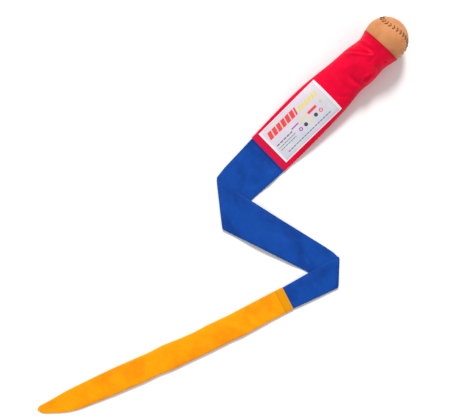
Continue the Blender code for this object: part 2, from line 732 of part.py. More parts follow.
# ---- The whole object --------------------------------------------------------------------------
def centre_on_ground(root):
    """Move the root so that the origin is under the middle of the object's box."""
    bpy.context.view_layer.update()
    graph = bpy.context.evaluated_depsgraph_get()
    corners = []
    for obj in bpy.context.scene.objects:
        if obj.type == "EMPTY":
            continue
        shape = obj.evaluated_get(graph)
        mesh = shape.to_mesh()
        corners += [obj.matrix_world @ v.co for v in mesh.vertices]
        shape.to_mesh_clear()
    low = [min(c[i] for c in corners) for i in range(3)]
    high = [max(c[i] for c in corners) for i in range(3)]
    root.empty.location -= Vector(((low[0] + high[0]) / 2, (low[1] + high[1]) / 2, low[2]))
    bpy.context.view_layer.update()


def main():
    for obj in list(bpy.data.objects):
        bpy.data.objects.remove(obj, do_unlink=True)
    mats = {
        "leather": material("tan_leather", "D69362", 0.5),
        "lacing": material("brown_waxed_thread", "3A1F17", 0.6),
        "cork": material("cork_rubber", "7A4B35", 0.8),
        "yarn": material("wool_yarn", "C9C2B4", 0.9),
        "red": material("red_nylon", "E90037", 0.5),
        "blue": material("blue_nylon", "17489E", 0.5),
        "yellow": material("yellow_nylon", "FFA000", 0.5),
        "thread": material("sewing_thread", "C8C8CC", 0.6),
        "label": material("printed_label", "D8D2DC", 0.4),
    }
    root = Pivot("ground_datum", (0, 0, 0))
    head = Pivot("head_pivot", BALL_PLACE, root)
    neck_height = red_base(NECK_AXIS) + red_height(NECK_AXIS) / 2
    upper = Pivot("neck_bend_axis", (*RED_LAY.point(NECK_AXIS, 0), neck_height), head)
    middle = Pivot("first_fold_axis", FIRST.axis_point(), upper)
    lower = Pivot("second_fold_axis", SECOND.axis_point(), middle)
    bend = CUFF_LENGTH + BEND_REACH
    base, thickness = yellow_levels(bend)
    end_pivot = Pivot("yellow_bend_axis", (*yellow_place(bend, 0), base + thickness / 2), lower)
    build_ball(head, mats)
    build_red(head, upper, mats)
    build_label(upper, mats)
    build_blue(upper, middle, lower, mats)
    build_yellow(lower, end_pivot, mats)
    centre_on_ground(root)


main()
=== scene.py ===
"""A tailed throwing ball: a stitched leather ball sewn into a long nylon tail of three sections.

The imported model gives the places. This file gives the looks: leather and herringbone stitches for the
ball, pressed nylon tubes for the tail, a printed label, and every row of thread.
"""
import logging
import math
from dataclasses import dataclass
from enum import Enum
from typing import Callable, Sequence

import bpy
import numpy as np
from mathutils import Euler, Matrix, Vector, noise


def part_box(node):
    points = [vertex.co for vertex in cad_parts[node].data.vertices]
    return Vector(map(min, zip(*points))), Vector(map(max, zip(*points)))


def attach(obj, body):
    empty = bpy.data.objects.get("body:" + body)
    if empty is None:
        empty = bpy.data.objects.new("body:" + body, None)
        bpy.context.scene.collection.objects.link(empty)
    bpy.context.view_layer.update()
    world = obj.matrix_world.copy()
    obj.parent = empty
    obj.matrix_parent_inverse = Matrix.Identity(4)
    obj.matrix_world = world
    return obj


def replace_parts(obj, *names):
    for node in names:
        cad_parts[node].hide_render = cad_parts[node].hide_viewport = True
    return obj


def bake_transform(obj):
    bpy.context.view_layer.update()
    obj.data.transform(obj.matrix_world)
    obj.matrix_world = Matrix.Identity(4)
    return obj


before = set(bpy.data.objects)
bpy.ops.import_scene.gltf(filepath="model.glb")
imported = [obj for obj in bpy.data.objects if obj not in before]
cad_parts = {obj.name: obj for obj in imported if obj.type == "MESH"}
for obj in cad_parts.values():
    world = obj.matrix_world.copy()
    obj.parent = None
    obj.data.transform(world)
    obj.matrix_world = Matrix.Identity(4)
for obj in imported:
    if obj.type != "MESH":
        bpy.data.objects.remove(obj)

LOG = logging.getLogger("tailed_ball")
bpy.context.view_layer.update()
MM = 0.001

Place = Callable[[float, float], Vector]
Socket = bpy.types.NodeSocket
Tree = bpy.types.NodeTree
Thing = bpy.types.Object


# ---- Numbers -----------------------------------------------------------------------------------
def mix(a: float, b: float, share: float) -> float:
    """The value between a and b at this share."""
    return a + (b - a) * share


def clamp(x: float, low: float = 0.0, high: float = 1.0) -> float:
    """x kept between low and high."""
    return min(max(x, low), high)


def ease(x: float, low: float, high: float) -> float:
    """0 below low and 1 above high, with a smooth rise between them."""
    share = clamp((x - low) / (high - low))
    return share * share * (3 - 2 * share)


def flowing(stations: Sequence[tuple[float, float]], x: float) -> float:
    """A smooth curve through stations.

    Args:
        stations: (position, value) pairs in rising order.
        x: the position to read.

    Returns:
        The value there, held flat outside the stations.
    """
    if x <= stations[0][0]:
        return stations[0][1]
    for i in range(len(stations) - 1):
        (a, p), (b, q) = stations[i], stations[i + 1]
        if x <= b:
            before = stations[max(i - 1, 0)]
            after = stations[min(i + 2, len(stations) - 1)]
            m0 = (q - before[1]) / (b - before[0]) * (b - a)
            m1 = (after[1] - p) / (after[0] - a) * (b - a)
            s = (x - a) / (b - a)
            return (p * (2 * s ** 3 - 3 * s ** 2 + 1) + m0 * (s ** 3 - 2 * s ** 2 + s)
                    + q * (3 * s ** 2 - 2 * s ** 3) + m1 * (s ** 3 - s ** 2))
    return stations[-1][1]


def rumple(a: float, b: float, seed: float, size: float) -> float:
    """Smooth noise from about -1 to 1 over a flat cloth, with features of about this size in metres."""
    return noise.noise(Vector((a / size + seed, b / size - seed, seed * 1.7)))


def linear(code: str) -> tuple[float, float, float, float]:
    """An sRGB hex colour as linear RGBA."""
    parts = [int(code[i:i + 2], 16) / 255 for i in (0, 2, 4)]
    rgb = [p / 12.92 if p <= 0.04045 else ((p + 0.055) / 1.055) ** 2.4 for p in parts]
    return (rgb[0], rgb[1], rgb[2], 1.0)


# ---- Blender tools -----------------------------------------------------------------------------
def deselect() -> None:
    """Leave nothing selected, so that an operator only meets what is added next."""
    if bpy.context.object and bpy.context.object.mode != "OBJECT":
        bpy.ops.object.mode_set(mode="OBJECT")
    bpy.ops.object.select_all(action="DESELECT")


def pick(thing: Thing) -> None:
    """Select this object alone and make it active."""
    deselect()
    bpy.context.view_layer.objects.active = thing
    thing.select_set(True)


def in_edit_mode(thing: Thing, work: Callable[[], None]) -> None:
    """Select all of a mesh in edit mode, do the work, and come back.

    Args:
        thing: the mesh object.
        work: calls edit operators.
    """
    pick(thing)
    bpy.ops.object.mode_set(mode="EDIT")
    bpy.ops.mesh.select_all(action="SELECT")
    work()
    bpy.ops.object.mode_set(mode="OBJECT")


def add_modifier(thing: Thing, kind: str, **settings: object) -> None:
    """Add a modifier with its settings and apply it.

    Args:
        thing: the mesh object.
        kind: the modifier's type.
        settings: its properties.
    """
    pick(thing)
    modifier = thing.modifiers.new(kind.lower(), kind)
    for key, value in settings.items():
        setattr(modifier, key, value)
    bpy.ops.object.modifier_apply(modifier=modifier.name)


def turn_over(thing: Thing) -> None:
    """Flip a cloth whose outside faces in."""
    in_edit_mode(thing, lambda: bpy.ops.mesh.flip_normals())


def thicken(thing: Thing, wall: float) -> None:
    """Give a cloth its thickness, inwards from its outside."""
    add_modifier(thing, "SOLIDIFY", thickness=wall, offset=-1.0)


def shade(thing: Thing, material: bpy.types.Material, angle: float = math.radians(50)) -> None:
    """Smooth shading below the angle, and the material."""
    pick(thing)
    bpy.ops.object.shade_smooth_by_angle(angle=angle)
    thing.data.materials.clear()
    thing.data.materials.append(material)


def cloth(name: str, columns: int, rows: int, place: Place, flat: tuple[float, float],
          cut: Callable[[float], float] = lambda x: x,
          spread: Callable[[float], float] = lambda x: x) -> Thing:
    """A cloth made from a flat grid, moved into place and sewn where its edges meet.

    Args:
        name: the piece's name.
        columns: faces across the grid.
        rows: faces along the grid.
        place: gives the place of a point from its shares across and along.
        flat: the cut size in metres, which the UV map takes.
        cut: the share across on the flat cut, for a share across the grid.
        spread: the share along the cloth, for a share along the grid.

    Returns:
        The cloth, one layer thick, with its outside facing up.
    """
    deselect()
    bpy.ops.mesh.primitive_grid_add(x_subdivisions=columns, y_subdivisions=rows, size=1.0)
    thing = bpy.context.object
    thing.name = thing.data.name = name
    mesh = thing.data
    shares = np.empty(len(mesh.vertices) * 3)
    mesh.vertices.foreach_get("co", shares)
    shares = shares.reshape(-1, 3) + 0.5
    for loop, corner in zip(mesh.loops, mesh.uv_layers.active.data):
        across, along, _ = shares[loop.vertex_index]
        corner.uv = (cut(across) * flat[0], spread(along) * flat[1])
    places = [place(float(across), spread(float(along))) for across, along, _ in shares]
    mesh.vertices.foreach_set("co", np.array([tuple(p) for p in places]).ravel())
    mesh.update()
    in_edit_mode(thing, lambda: bpy.ops.mesh.remove_doubles(threshold=2e-6))
    top = max(thing.data.polygons, key=lambda face: face.center.z)
    if top.normal.z < 0:
        turn_over(thing)
    return thing


def join_copies(name: str, pattern: Thing, placings: Sequence[Callable[[Vector], Vector]]) -> Thing:
    """Copy a small modelled shape many times into one mesh.

    Args:
        name: the new piece's name.
        pattern: the shape that repeats.
        placings: one function per copy, from the pattern's own coordinates to the row frame.

    Returns:
        The new piece.
    """
    own = [vertex.co.copy() for vertex in pattern.data.vertices]
    faces = [tuple(face.vertices) for face in pattern.data.polygons]
    points, all_faces = [], []
    for placing in placings:
        start = len(points)
        points += [tuple(placing(co)) for co in own]
        all_faces += [tuple(start + i for i in face) for face in faces]
    mesh = bpy.data.meshes.new(name)
    mesh.from_pydata(points, [], all_faces)
    thing = bpy.data.objects.new(name, mesh)
    bpy.context.scene.collection.objects.link(thing)
    in_edit_mode(thing, lambda: bpy.ops.mesh.normals_make_consistent(inside=False))
    return thing


def stitch_pattern() -> Thing:
    """One stitch one metre long and thick along X: a round strand that thins to its needle holes.

    Returns:
        The pattern, which is removed when every row has its copies.
    """
    deselect()
    bpy.ops.mesh.primitive_cylinder_add(vertices=6, radius=0.5, depth=0.8, location=(0, 0, 0))
    thing = bpy.context.object
    thing.name = "stitch_pattern"

    def shape() -> None:
        """Cut rings along the strand."""
        for height in (-0.24, -0.08, 0.08, 0.24):
            bpy.ops.mesh.select_all(action="SELECT")
            bpy.ops.mesh.bisect(plane_co=(0, 0, height), plane_no=(0, 0, 1))

    in_edit_mode(thing, shape)
    for end in (-1, 1):
        for face in thing.data.polygons:
            face.select = face.normal.z * end > 0.9
        pick(thing)
        bpy.ops.object.mode_set(mode="EDIT")
        bpy.ops.mesh.select_mode(type="FACE")
        bpy.ops.mesh.extrude_region_move(TRANSFORM_OT_translate={"value": (0, 0, end * 0.1)})
        bpy.ops.transform.resize(value=(0.35, 0.35, 1), center_override=(0, 0, end * 0.5))
        bpy.ops.object.mode_set(mode="OBJECT")
    for vertex in thing.data.vertices:
        vertex.co = Vector((vertex.co.z, vertex.co.x, vertex.co.y))
    return thing


# ---- Node tools --------------------------------------------------------------------------------
def add(tree: Tree, kind: str, options: dict | None = None, values: dict | None = None,
        links: dict | None = None) -> bpy.types.Node:
    """Add a node with its settings, its values and its links.

    Args:
        tree: the material's node tree.
        kind: the node's type, without the leading ShaderNode.
        options: properties of the node.
        values: fixed values, by input name or number.
        links: sockets that feed inputs, by input name or number.

    Returns:
        The node.
    """
    node = tree.nodes.new("ShaderNode" + kind)
    for key, value in (options or {}).items():
        setattr(node, key, value)
    for key, value in (values or {}).items():
        node.inputs[key].default_value = value
    for key, source in (links or {}).items():
        tree.links.new(source, node.inputs[key])
    return node


def math_node(tree: Tree, operation: str, *terms: Socket | float) -> Socket:
    """One Math node; each term is a socket or a number."""
    values = {i: term for i, term in enumerate(terms) if isinstance(term, (int, float))}
    links = {i: term for i, term in enumerate(terms) if not isinstance(term, (int, float))}
    return add(tree, "Math", {"operation": operation}, values, links).outputs[0]


def product(tree: Tree, *terms: Socket | float) -> Socket:
    """Two terms multiplied."""
    return math_node(tree, "MULTIPLY", *terms)


def blend_colour(tree: Tree, factor: Socket, below: Socket | str, above: Socket | str) -> Socket:
    """One colour over another; each is a socket or a hex code."""
    values, links = {}, {0: factor}
    for key, colour in ((6, below), (7, above)):
        if isinstance(colour, str):
            values[key] = linear(colour)
        else:
            links[key] = colour
    return add(tree, "Mix", {"data_type": "RGBA"}, values, links).outputs[2]


def ramp(tree: Tree, source: Socket, low: float, high: float, floor: float = 0.0,
         top: float = 1.0) -> Socket:
    """A value that goes from floor to top while the source goes from low to high."""
    values = {"From Min": low, "From Max": high, "To Min": floor, "To Max": top}
    return add(tree, "MapRange", {"interpolation_type": "SMOOTHSTEP"}, values, {"Value": source}).outputs[0]


def new_material(name: str, **shader_values: float) -> tuple[bpy.types.Material, Tree, bpy.types.Node]:
    """A material with its Principled shader's fixed values set."""
    material = bpy.data.materials.new(name)
    material.use_nodes = True
    shader = material.node_tree.nodes["Principled BSDF"]
    for key, value in shader_values.items():
        shader.inputs[key.replace("_", " ")].default_value = value
    return material, material.node_tree, shader


def speckle(tree: Tree, source: Socket, size: float, detail: float = 3.0, stretch: tuple = (1, 1, 1)) -> Socket:
    """Noise with features of this size in metres, read from the given coordinates."""
    scaled = add(tree, "Mapping", None, {"Scale": stretch}, {"Vector": source}).outputs[0]
    return add(tree, "TexNoise", None, {"Scale": 1 / size, "Detail": detail}, {"Vector": scaled}).outputs[0]


def wave_scale(pitch: float) -> float:
    """The Wave texture's scale that sets its bands this far apart, in metres."""
    return math.tau / 20 / pitch


def ridges(tree: Tree, source: Socket, direction: str, pitch: float, **values: float) -> Socket:
    """Parallel ridges this far apart in metres, across a texture direction."""
    return add(tree, "TexWave", {"bands_direction": direction}, {"Scale": wave_scale(pitch), **values},
               {"Vector": source}).outputs["Fac"]


def raise_grain(tree: Tree, shader: bpy.types.Node, height: Socket, strength: float, depth: float) -> None:
    """Feed the shader a bump of this strength, and of this depth in metres."""
    bump = add(tree, "Bump", None, {"Strength": strength, "Distance": depth}, {"Height": height})
    tree.links.new(bump.outputs[0], shader.inputs["Normal"])


class Band(Enum):
    """Which way a band on a cloth runs, as the UV axis that it is measured along."""
    ACROSS_THE_TAIL = "Y"
    ALONG_THE_TAIL = "X"


@dataclass(frozen=True)
class DarkBand:
    """A darker band across the tail, by its start and end on the cut: doubled cloth at a hem, and on some seams
    painted shade along the stitches.
    """
    start: float
    end: float
    strength: float
    colour: str = ""        # the finish's shadow colour when empty


@dataclass(frozen=True)
class NylonFinish:
    """Coated nylon taffeta: a plain weave of fine shiny filaments, calendered smooth and dyed through.

    It reads as a smooth, saturated cloth with a soft broad sheen, faint blotches of painted shade such as
    crumples would cast, smaller patches of painted highlight, darker bands where a hem doubles it, and
    bands of painted shade along some stitched seams.
    """
    name: str
    colour: str
    # the dark colour is painted shade in the blotches, and also darkens the weave's slubs and the hems; the
    # light colour tints the sheen and is painted highlight in small patches
    painted_shade_weave_and_hem: str
    sheen_and_painted_highlight: str
    dark_bands: tuple[DarkBand, ...] = ()
    # how far the blotches of painted shade darken the cloth
    painted_shade_amount: float = 0.5
    seed: float = 0.0

    def build(self) -> bpy.types.Material:
        """Make the material.

        Returns:
            The material, which reads the cloth's UV map, in metres on the cut.
        """
        material, tree, shader = new_material(self.name, Roughness=0.52, IOR=1.53, Sheen_Weight=0.04,
                                              Sheen_Roughness=0.35, Specular_IOR_Level=0.08)
        shader.inputs["Sheen Tint"].default_value = linear(self.sheen_and_painted_highlight)
        coords = add(tree, "TexCoord").outputs["UV"]
        shift = {"Location": (self.seed, self.seed, 0)}
        moved = add(tree, "Mapping", None, shift, {"Vector": coords}).outputs[0]
        # painted shade in blotches some 40 mm across, as crumples would shade the cloth, and smaller patches of
        # painted highlight of about 9 mm
        broad = ramp(tree, speckle(tree, moved, 40 * MM, 2.0), 0.42, 0.66, 0.0, self.painted_shade_amount)
        colour = blend_colour(tree, broad, self.colour, self.painted_shade_weave_and_hem)
        small = ramp(tree, speckle(tree, moved, 9 * MM, 4.0), 0.5, 0.75, 0.0, 0.3)
        colour = blend_colour(tree, small, colour, self.sheen_and_painted_highlight)
        # yarns 0.1 mm apart are too fine to show, so slubs are drawn 1.3 mm apart in both directions
        warp = speckle(tree, moved, 1.3 * MM, 1.0, (1, 0.12, 1))
        weft = speckle(tree, moved, 1.3 * MM, 1.0, (0.12, 1, 1))
        slubs = math_node(tree, "ADD", warp, weft)
        colour = blend_colour(tree, ramp(tree, slubs, 0.95, 1.25, 0.0, 0.22), colour, self.painted_shade_weave_and_hem)
        axes = add(tree, "SeparateXYZ", None, None, {"Vector": coords})
        # darker bands: doubled cloth at hems, and painted shade along some rows of stitches
        for hem in self.dark_bands:
            along = axes.outputs["Y"]
            inside = product(tree, ramp(tree, along, hem.start - 0.4 * MM, hem.start + 0.4 * MM),
                               ramp(tree, along, hem.end + 0.4 * MM, hem.end - 0.4 * MM))
            colour = blend_colour(tree, product(tree, inside, hem.strength), colour,
                                  hem.colour or self.painted_shade_weave_and_hem)
        tree.links.new(colour, shader.inputs["Base Color"])
        tree.links.new(ramp(tree, slubs, 0.8, 1.3, 0.46, 0.62), shader.inputs["Roughness"])
        # the weave itself: waves at 0.9 mm, coarser than the real cloth so that it shows close to
        weave = [ridges(tree, coords, way.value, 0.9 * MM, Distortion=0.6, Detail=0.0) for way in Band]
        threads = product(tree, weave[0], weave[1])
        crinkle = product(tree, speckle(tree, moved, 14 * MM, 3.0), 5.0)
        height = math_node(tree, "ADD", product(tree, threads, 0.35), crinkle)
        raise_grain(tree, shader, height, 0.28, 0.25 * MM)
        return material


@dataclass(frozen=True)
class LeatherFinish:
    """Vegetable-tanned cowhide, plated smooth: warm tan with pale and reddish clouds and fine pores."""
    name: str = "tan_cowhide_leather"
    colour: str = "D4905C"
    pale: str = "DC9E70"
    ruddy: str = "BC7444"
    pore: str = "8A5233"

    def build(self) -> bpy.types.Material:
        """Make the material.

        Returns:
            The material, which reads Object coordinates.
        """
        material, tree, shader = new_material(self.name, Roughness=0.5, IOR=1.5, Specular_IOR_Level=0.15)
        coords = add(tree, "TexCoord").outputs["Object"]
        clouds = ramp(tree, speckle(tree, coords, 22 * MM, 2.0), 0.3, 0.7, 0.45, 1.0)
        colour = blend_colour(tree, clouds, self.ruddy, self.colour)
        colour = blend_colour(tree, ramp(tree, speckle(tree, coords, 7 * MM, 4.0), 0.5, 0.75, 0, 0.3),
                              colour, self.pale)
        # hide grain: cells of 0.7 mm with pores at their corners
        cells = add(tree, "TexVoronoi", {"feature": "DISTANCE_TO_EDGE"}, {"Scale": 1 / (0.9 * MM)},
                    {"Vector": coords}).outputs["Distance"]
        pores = ramp(tree, speckle(tree, coords, 0.8 * MM, 2.0), 0.62, 0.74, 0.0, 0.45)
        colour = blend_colour(tree, pores, colour, self.pore)
        tree.links.new(colour, shader.inputs["Base Color"])
        tree.links.new(ramp(tree, clouds, 0.4, 1.0, 0.42, 0.56), shader.inputs["Roughness"])
        grain = math_node(tree, "ADD", product(tree, ramp(tree, cells, 0.0, 0.25), 0.5),
                          product(tree, speckle(tree, coords, 3 * MM, 4.0), 1.4))
        raise_grain(tree, shader, grain, 0.35, 0.12 * MM)
        return material


@dataclass(frozen=True)
class ThreadFinish:
    """Twisted thread: polyester for the cloth, waxed cotton for the leather, with the twist as fine ridges."""
    name: str
    colour: str
    dark: str
    twist: float = 0.6 * MM
    roughness: float = 0.55

    def build(self) -> bpy.types.Material:
        """Make the material.

        Returns:
            The material, which reads Object coordinates.
        """
        material, tree, shader = new_material(self.name, Roughness=self.roughness, IOR=1.5)
        coords = add(tree, "TexCoord").outputs["Object"]
        lay = {"Rotation": (0.5, 0.4, math.radians(32))}
        turned = add(tree, "Mapping", None, lay, {"Vector": coords}).outputs[0]
        ply = ridges(tree, turned, "DIAGONAL", self.twist, Distortion=1.0)
        fuzz = speckle(tree, coords, 1.5 * MM, 3.0)
        factor = product(tree, ply, fuzz)
        tree.links.new(blend_colour(tree, factor, self.dark, self.colour), shader.inputs["Base Color"])
        raise_grain(tree, shader, ply, 0.4, 0.1 * MM)
        return material


@dataclass(frozen=True)
class CoreFinish:
    """What the ball is filled with: pressed cork crumb in rubber, or grey-white wool yarn in crossing turns."""
    name: str
    colour: str
    fleck: str
    fleck_size: float
    wound: bool

    def build(self) -> bpy.types.Material:
        """Make the material.

        Returns:
            The material, which reads Object coordinates.
        """
        material, tree, shader = new_material(self.name, Roughness=0.85, IOR=1.45)
        coords = add(tree, "TexCoord").outputs["Object"]
        flecks = ramp(tree, speckle(tree, coords, self.fleck_size, 4.0), 0.45, 0.6)
        height = flecks
        if self.wound:
            turns = [ridges(tree, coords, axis, 1.2 * MM, Distortion=2.0) for axis in ("X", "DIAGONAL")]
            height = math_node(tree, "MAXIMUM", *turns)
        tree.links.new(blend_colour(tree, flecks, self.colour, self.fleck), shader.inputs["Base Color"])
        raise_grain(tree, shader, height, 0.6, 0.3 * MM)
        return material


class Mark(Enum):
    """Kinds of printed mark on the label."""
    BAR = "bar"
    SLANTED = "slanted"     # a bar cut into slanted blocks
    DASHED = "dashed"       # a bar cut into short dashes
    DISC = "disc"
    RING = "ring"


@dataclass(frozen=True)
class Print:
    """One printed mark, in millimetres from the label's lower corner at the sleeve's seam."""
    kind: Mark
    x: float
    y: float
    width: float
    height: float
    colour: str
    pitch: float = 9.0
    ink: float = 0.92


@dataclass(frozen=True)
class LabelFinish:
    """Woven polyester label, printed with flat inks: a smooth pale ground with a fine satin rib."""
    name: str = "printed_satin_label"
    ground: str = "DFD4E2"
    cool: str = "CDCFDC"
    border: str = "F2EEF2"
    length: float = 124.8
    width: float = 65.0

    def prints(self) -> list[Print]:
        """The label's marks: plain blocks, discs and rules, with no lettering."""
        red, yellow, purple, black, grey = "F22E1C", "E8DA7A", "A83AB4", "26282C", "6A6E78"
        return [
            Print(Mark.SLANTED, 39.5, 49.5, 61, 12.5, red, 9.6),
            Print(Mark.SLANTED, 93, 47.5, 39, 8.5, yellow, 7.0),
            Print(Mark.BAR, 51, 32.5, 15, 2.2, purple),
            Print(Mark.BAR, 69, 32.5, 17, 3.2, yellow),
            Print(Mark.BAR, 89, 32.5, 18, 4.6, red),
            Print(Mark.DISC, 108, 32.5, 2.6, 2.6, "B4DC8C"),
            Print(Mark.RING, 55, 22, 3.3, 1.6, purple),
            Print(Mark.DISC, 66, 22, 3.3, 3.3, black),
            Print(Mark.RING, 77, 22, 3.2, 1.5, yellow),
            Print(Mark.DISC, 88, 22, 3.3, 3.3, black),
            Print(Mark.RING, 99, 22, 3.3, 1.8, red),
            Print(Mark.DASHED, 25, 29.5, 34, 2.2, grey, 7.3),
            Print(Mark.DASHED, 26, 24, 37, 1.3, grey, 4.1),
            Print(Mark.DASHED, 25, 19.5, 34, 1.3, grey, 5.3),
            Print(Mark.DASHED, 62, 9.5, 94, 1.6, grey, 5.9),
        ]

    def mask(self, tree: Tree, x: Socket, y: Socket, mark: Print) -> Socket:
        """1 inside a printed mark and 0 outside.

        Args:
            tree: the material's node tree.
            x: millimetres along the label.
            y: millimetres across the label.
            mark: the mark.

        Returns:
            The mask's socket.
        """
        dx = math_node(tree, "SUBTRACT", x, mark.x)
        dy = math_node(tree, "SUBTRACT", y, mark.y)
        if mark.kind in (Mark.DISC, Mark.RING):
            reach = math_node(tree, "SQRT", math_node(tree, "ADD", product(tree, dx, dx),
                                                      product(tree, dy, dy)))
            inside = math_node(tree, "LESS_THAN", reach, mark.width)
            if mark.kind is Mark.RING:
                hollow = math_node(tree, "GREATER_THAN", reach, mark.height)
                inside = product(tree, inside, hollow)
            return inside
        lean = 0.28 if mark.kind is Mark.SLANTED else 0.0
        along = math_node(tree, "SUBTRACT", dx, product(tree, dy, lean))
        inside = product(tree, *(math_node(tree, "LESS_THAN", math_node(tree, "ABSOLUTE", off), size / 2)
                                 for off, size in ((along, mark.width), (dy, mark.height))))
        if mark.kind is not Mark.BAR:
            travel = math_node(tree, "ADD", along, mark.width / 2)
            phase = math_node(tree, "FRACT", product(tree, travel, 1 / mark.pitch))
            inside = product(tree, inside, math_node(tree, "LESS_THAN", phase, 0.8))
        return inside

    def build(self) -> bpy.types.Material:
        """Make the material.

        Returns:
            The material, which reads the label's UV map, in metres.
        """
        material, tree, shader = new_material(self.name, Roughness=0.5, IOR=1.5, Specular_IOR_Level=0.15)
        coords = add(tree, "TexCoord").outputs["UV"]
        axes = add(tree, "SeparateXYZ", None, None, {"Vector": coords})
        x = product(tree, axes.outputs["X"], 1000)
        y = product(tree, axes.outputs["Y"], 1000)
        colour = blend_colour(tree, ramp(tree, y, 10, 45), self.cool, self.ground)
        clouds = ramp(tree, speckle(tree, coords, 22 * MM, 2.0), 0.4, 0.7, 0, 0.6)
        colour = blend_colour(tree, clouds, colour, "E4E0DC")
        for mark in self.prints():
            inked = product(tree, self.mask(tree, x, y, mark), mark.ink)
            colour = blend_colour(tree, inked, colour, mark.colour)
        edges = [math_node(tree, "LESS_THAN", x, 3.5), math_node(tree, "GREATER_THAN", x, self.length - 4.0),
                 math_node(tree, "LESS_THAN", y, 1.6), math_node(tree, "GREATER_THAN", y, self.width - 1.6)]
        for edge in edges:
            colour = blend_colour(tree, edge, colour, self.border)
        off_rule = math_node(tree, "ABSOLUTE", math_node(tree, "SUBTRACT", x, self.length - 4.9))
        rule = math_node(tree, "LESS_THAN", off_rule, 0.5)
        colour = blend_colour(tree, product(tree, rule, 0.5), colour, "B7B3C0")
        tree.links.new(colour, shader.inputs["Base Color"])
        # satin ribs 0.2 mm apart are drawn 0.7 mm apart, so that they show close to
        rib = ridges(tree, coords, "Y", 0.7 * MM, Distortion=0.5)
        height = math_node(tree, "ADD", product(tree, rib, 0.3),
                           product(tree, speckle(tree, coords, 16 * MM, 2.0), 3.0))
        raise_grain(tree, shader, height, 0.25, 0.2 * MM)
        return material


@dataclass(frozen=True)
class FloorFinish:
    """Matt white painted board, under the toy."""
    name: str = "white_board"

    def build(self) -> bpy.types.Material:
        """Make the material.

        Returns:
            The material, nearly even, with a trace of grain.
        """
        material, tree, shader = new_material(self.name, Roughness=0.9)
        shader.inputs["Specular IOR Level"].default_value = 0.1
        coords = add(tree, "TexCoord").outputs["Object"]
        grain = ramp(tree, speckle(tree, coords, 60 * MM, 2.0), 0.3, 0.7)
        tree.links.new(blend_colour(tree, grain, "F8F8F8", "FAFAFA"), shader.inputs["Base Color"])
        return material


# ---- How the tail lies -------------------------------------------------------------------------
@dataclass(frozen=True)
class Stretch:
    """A straight stretch of tail on the ground: along it to the tip, and across it to its sewn edge."""
    start: Vector
    heading: float
    side: int

    def point(self, along: float, across: float) -> Vector:
        """The ground position at these distances."""
        forward = Vector((math.cos(self.heading), math.sin(self.heading)))
        sideways = Vector((-math.sin(self.heading), math.cos(self.heading))) * self.side
        return self.start + forward * along + sideways * across

    def folded(self, along: float, line: float) -> "Stretch":
        """The stretch after a fold at this length, over a fold line with this direction."""
        return Stretch(self.point(along, 0), 2 * line - self.heading, -self.side)

    def slant(self, line: float) -> float:
        """How far a fold line moves along the tail for each metre across it."""
        return 1 / math.tan(self.side * (line - self.heading))


@dataclass(frozen=True)
class FoldLine:
    """A fold line on the ground. Both layers lie on its clear side, the upper one on the lower."""
    centre: Vector
    line: float
    clear_side: Vector
    overlap: float
    half_length: float

    def distance(self, place: Vector) -> float:
        """How far a ground position is from the line, on the clear side."""
        return (place - self.centre).dot(self.clear_side)


class Layer(Enum):
    """Which layer of a folded tube; its value points up or down."""
    UPPER = 1
    LOWER = -1


@dataclass(frozen=True)
class Corner:
    """A corner that is tucked in where a run folds, on the run's sewn side (1) or its plain side (-1)."""
    fold: FoldLine
    side: int
    cut: float
    reach: float = 13 * MM

    def inset(self, place: Vector, share: float) -> float:
        """How far the edge moves in at a place, for a point with this share across."""
        if share * self.side <= 0:
            return 0.0
        return self.cut * (1 - clamp(self.fold.distance(place) / self.reach))


@dataclass(frozen=True)
class Drift:
    """How a run strays from its straight course near the fold where it starts."""
    aside: float = 0.0
    aside_end: float = 0.185
    flare: float = 0.0
    flare_end: float = 0.100

    def widen(self, along: float) -> float:
        """What is added to the half width."""
        return self.flare * (1 - clamp(along / self.flare_end))

    def shift(self, along: float) -> float:
        """How far the run lies towards its sewn side."""
        return self.aside * (1 - clamp(along / self.aside_end))


@dataclass(frozen=True)
class Layout:
    """The tail's measures, in metres, as the frame has them."""
    ball_centre: Vector
    radius: float
    tail_heading: float = math.radians(224.3)
    red_end: float = 0.2653
    first_length: float = 0.1105
    second_length: float = 0.2267
    third_length: float = 0.0929
    first_line: float = math.radians(96.6)
    second_line: float = math.radians(88.1)
    blue_start_half: float = 0.0377
    blue_end_half: float = 0.01945
    thin: float = 0.0020
    full: float = 0.0066
    layer: float = 0.0023
    cover_margin: float = 0.003

    @property
    def red(self) -> Stretch:
        """The red sleeve, measured from under the ball's centre."""
        return Stretch(self.ball_centre.xy, self.tail_heading, 1)

    @property
    def first(self) -> Stretch:
        """The blue sleeve's first run."""
        return Stretch(self.red.point(self.red_end, 0), self.tail_heading, 1)

    @property
    def second(self) -> Stretch:
        """The blue sleeve's second run."""
        return self.first.folded(self.first_length, self.first_line)

    @property
    def third(self) -> Stretch:
        """The blue sleeve's third run."""
        return self.second.folded(self.second_length, self.second_line)

    @property
    def yellow(self) -> Stretch:
        """The yellow sleeve's first, straight part."""
        third = self.third
        return Stretch(third.point(self.third_length, 0), third.heading, third.side)

    def blue_half(self, travel: float) -> float:
        """Half width of the blue sleeve at a length from its start."""
        whole = self.first_length + self.second_length + self.third_length
        return mix(self.blue_start_half, self.blue_end_half, clamp(travel / whole))

    def fold(self, run: Stretch, along: float, line: float, travel: float) -> FoldLine:
        """The fold line at the end of a run."""
        half = self.blue_half(travel)
        clear = Vector((math.sin(line), -math.cos(line)))
        if clear.dot(Vector((math.cos(run.heading), math.sin(run.heading)))) > 0:
            clear.negate()
        angle = run.side * (line - run.heading)
        return FoldLine(run.point(along, 0), line, clear, half / abs(math.cos(angle)) + self.cover_margin,
                        half / abs(math.sin(angle)))

    @property
    def first_fold(self) -> FoldLine:
        """The fold between the first and second runs."""
        return self.fold(self.first, self.first_length, self.first_line, self.first_length)

    @property
    def second_fold(self) -> FoldLine:
        """The fold between the second and third runs."""
        travel = self.first_length + self.second_length
        return self.fold(self.second, self.second_length, self.second_line, travel)


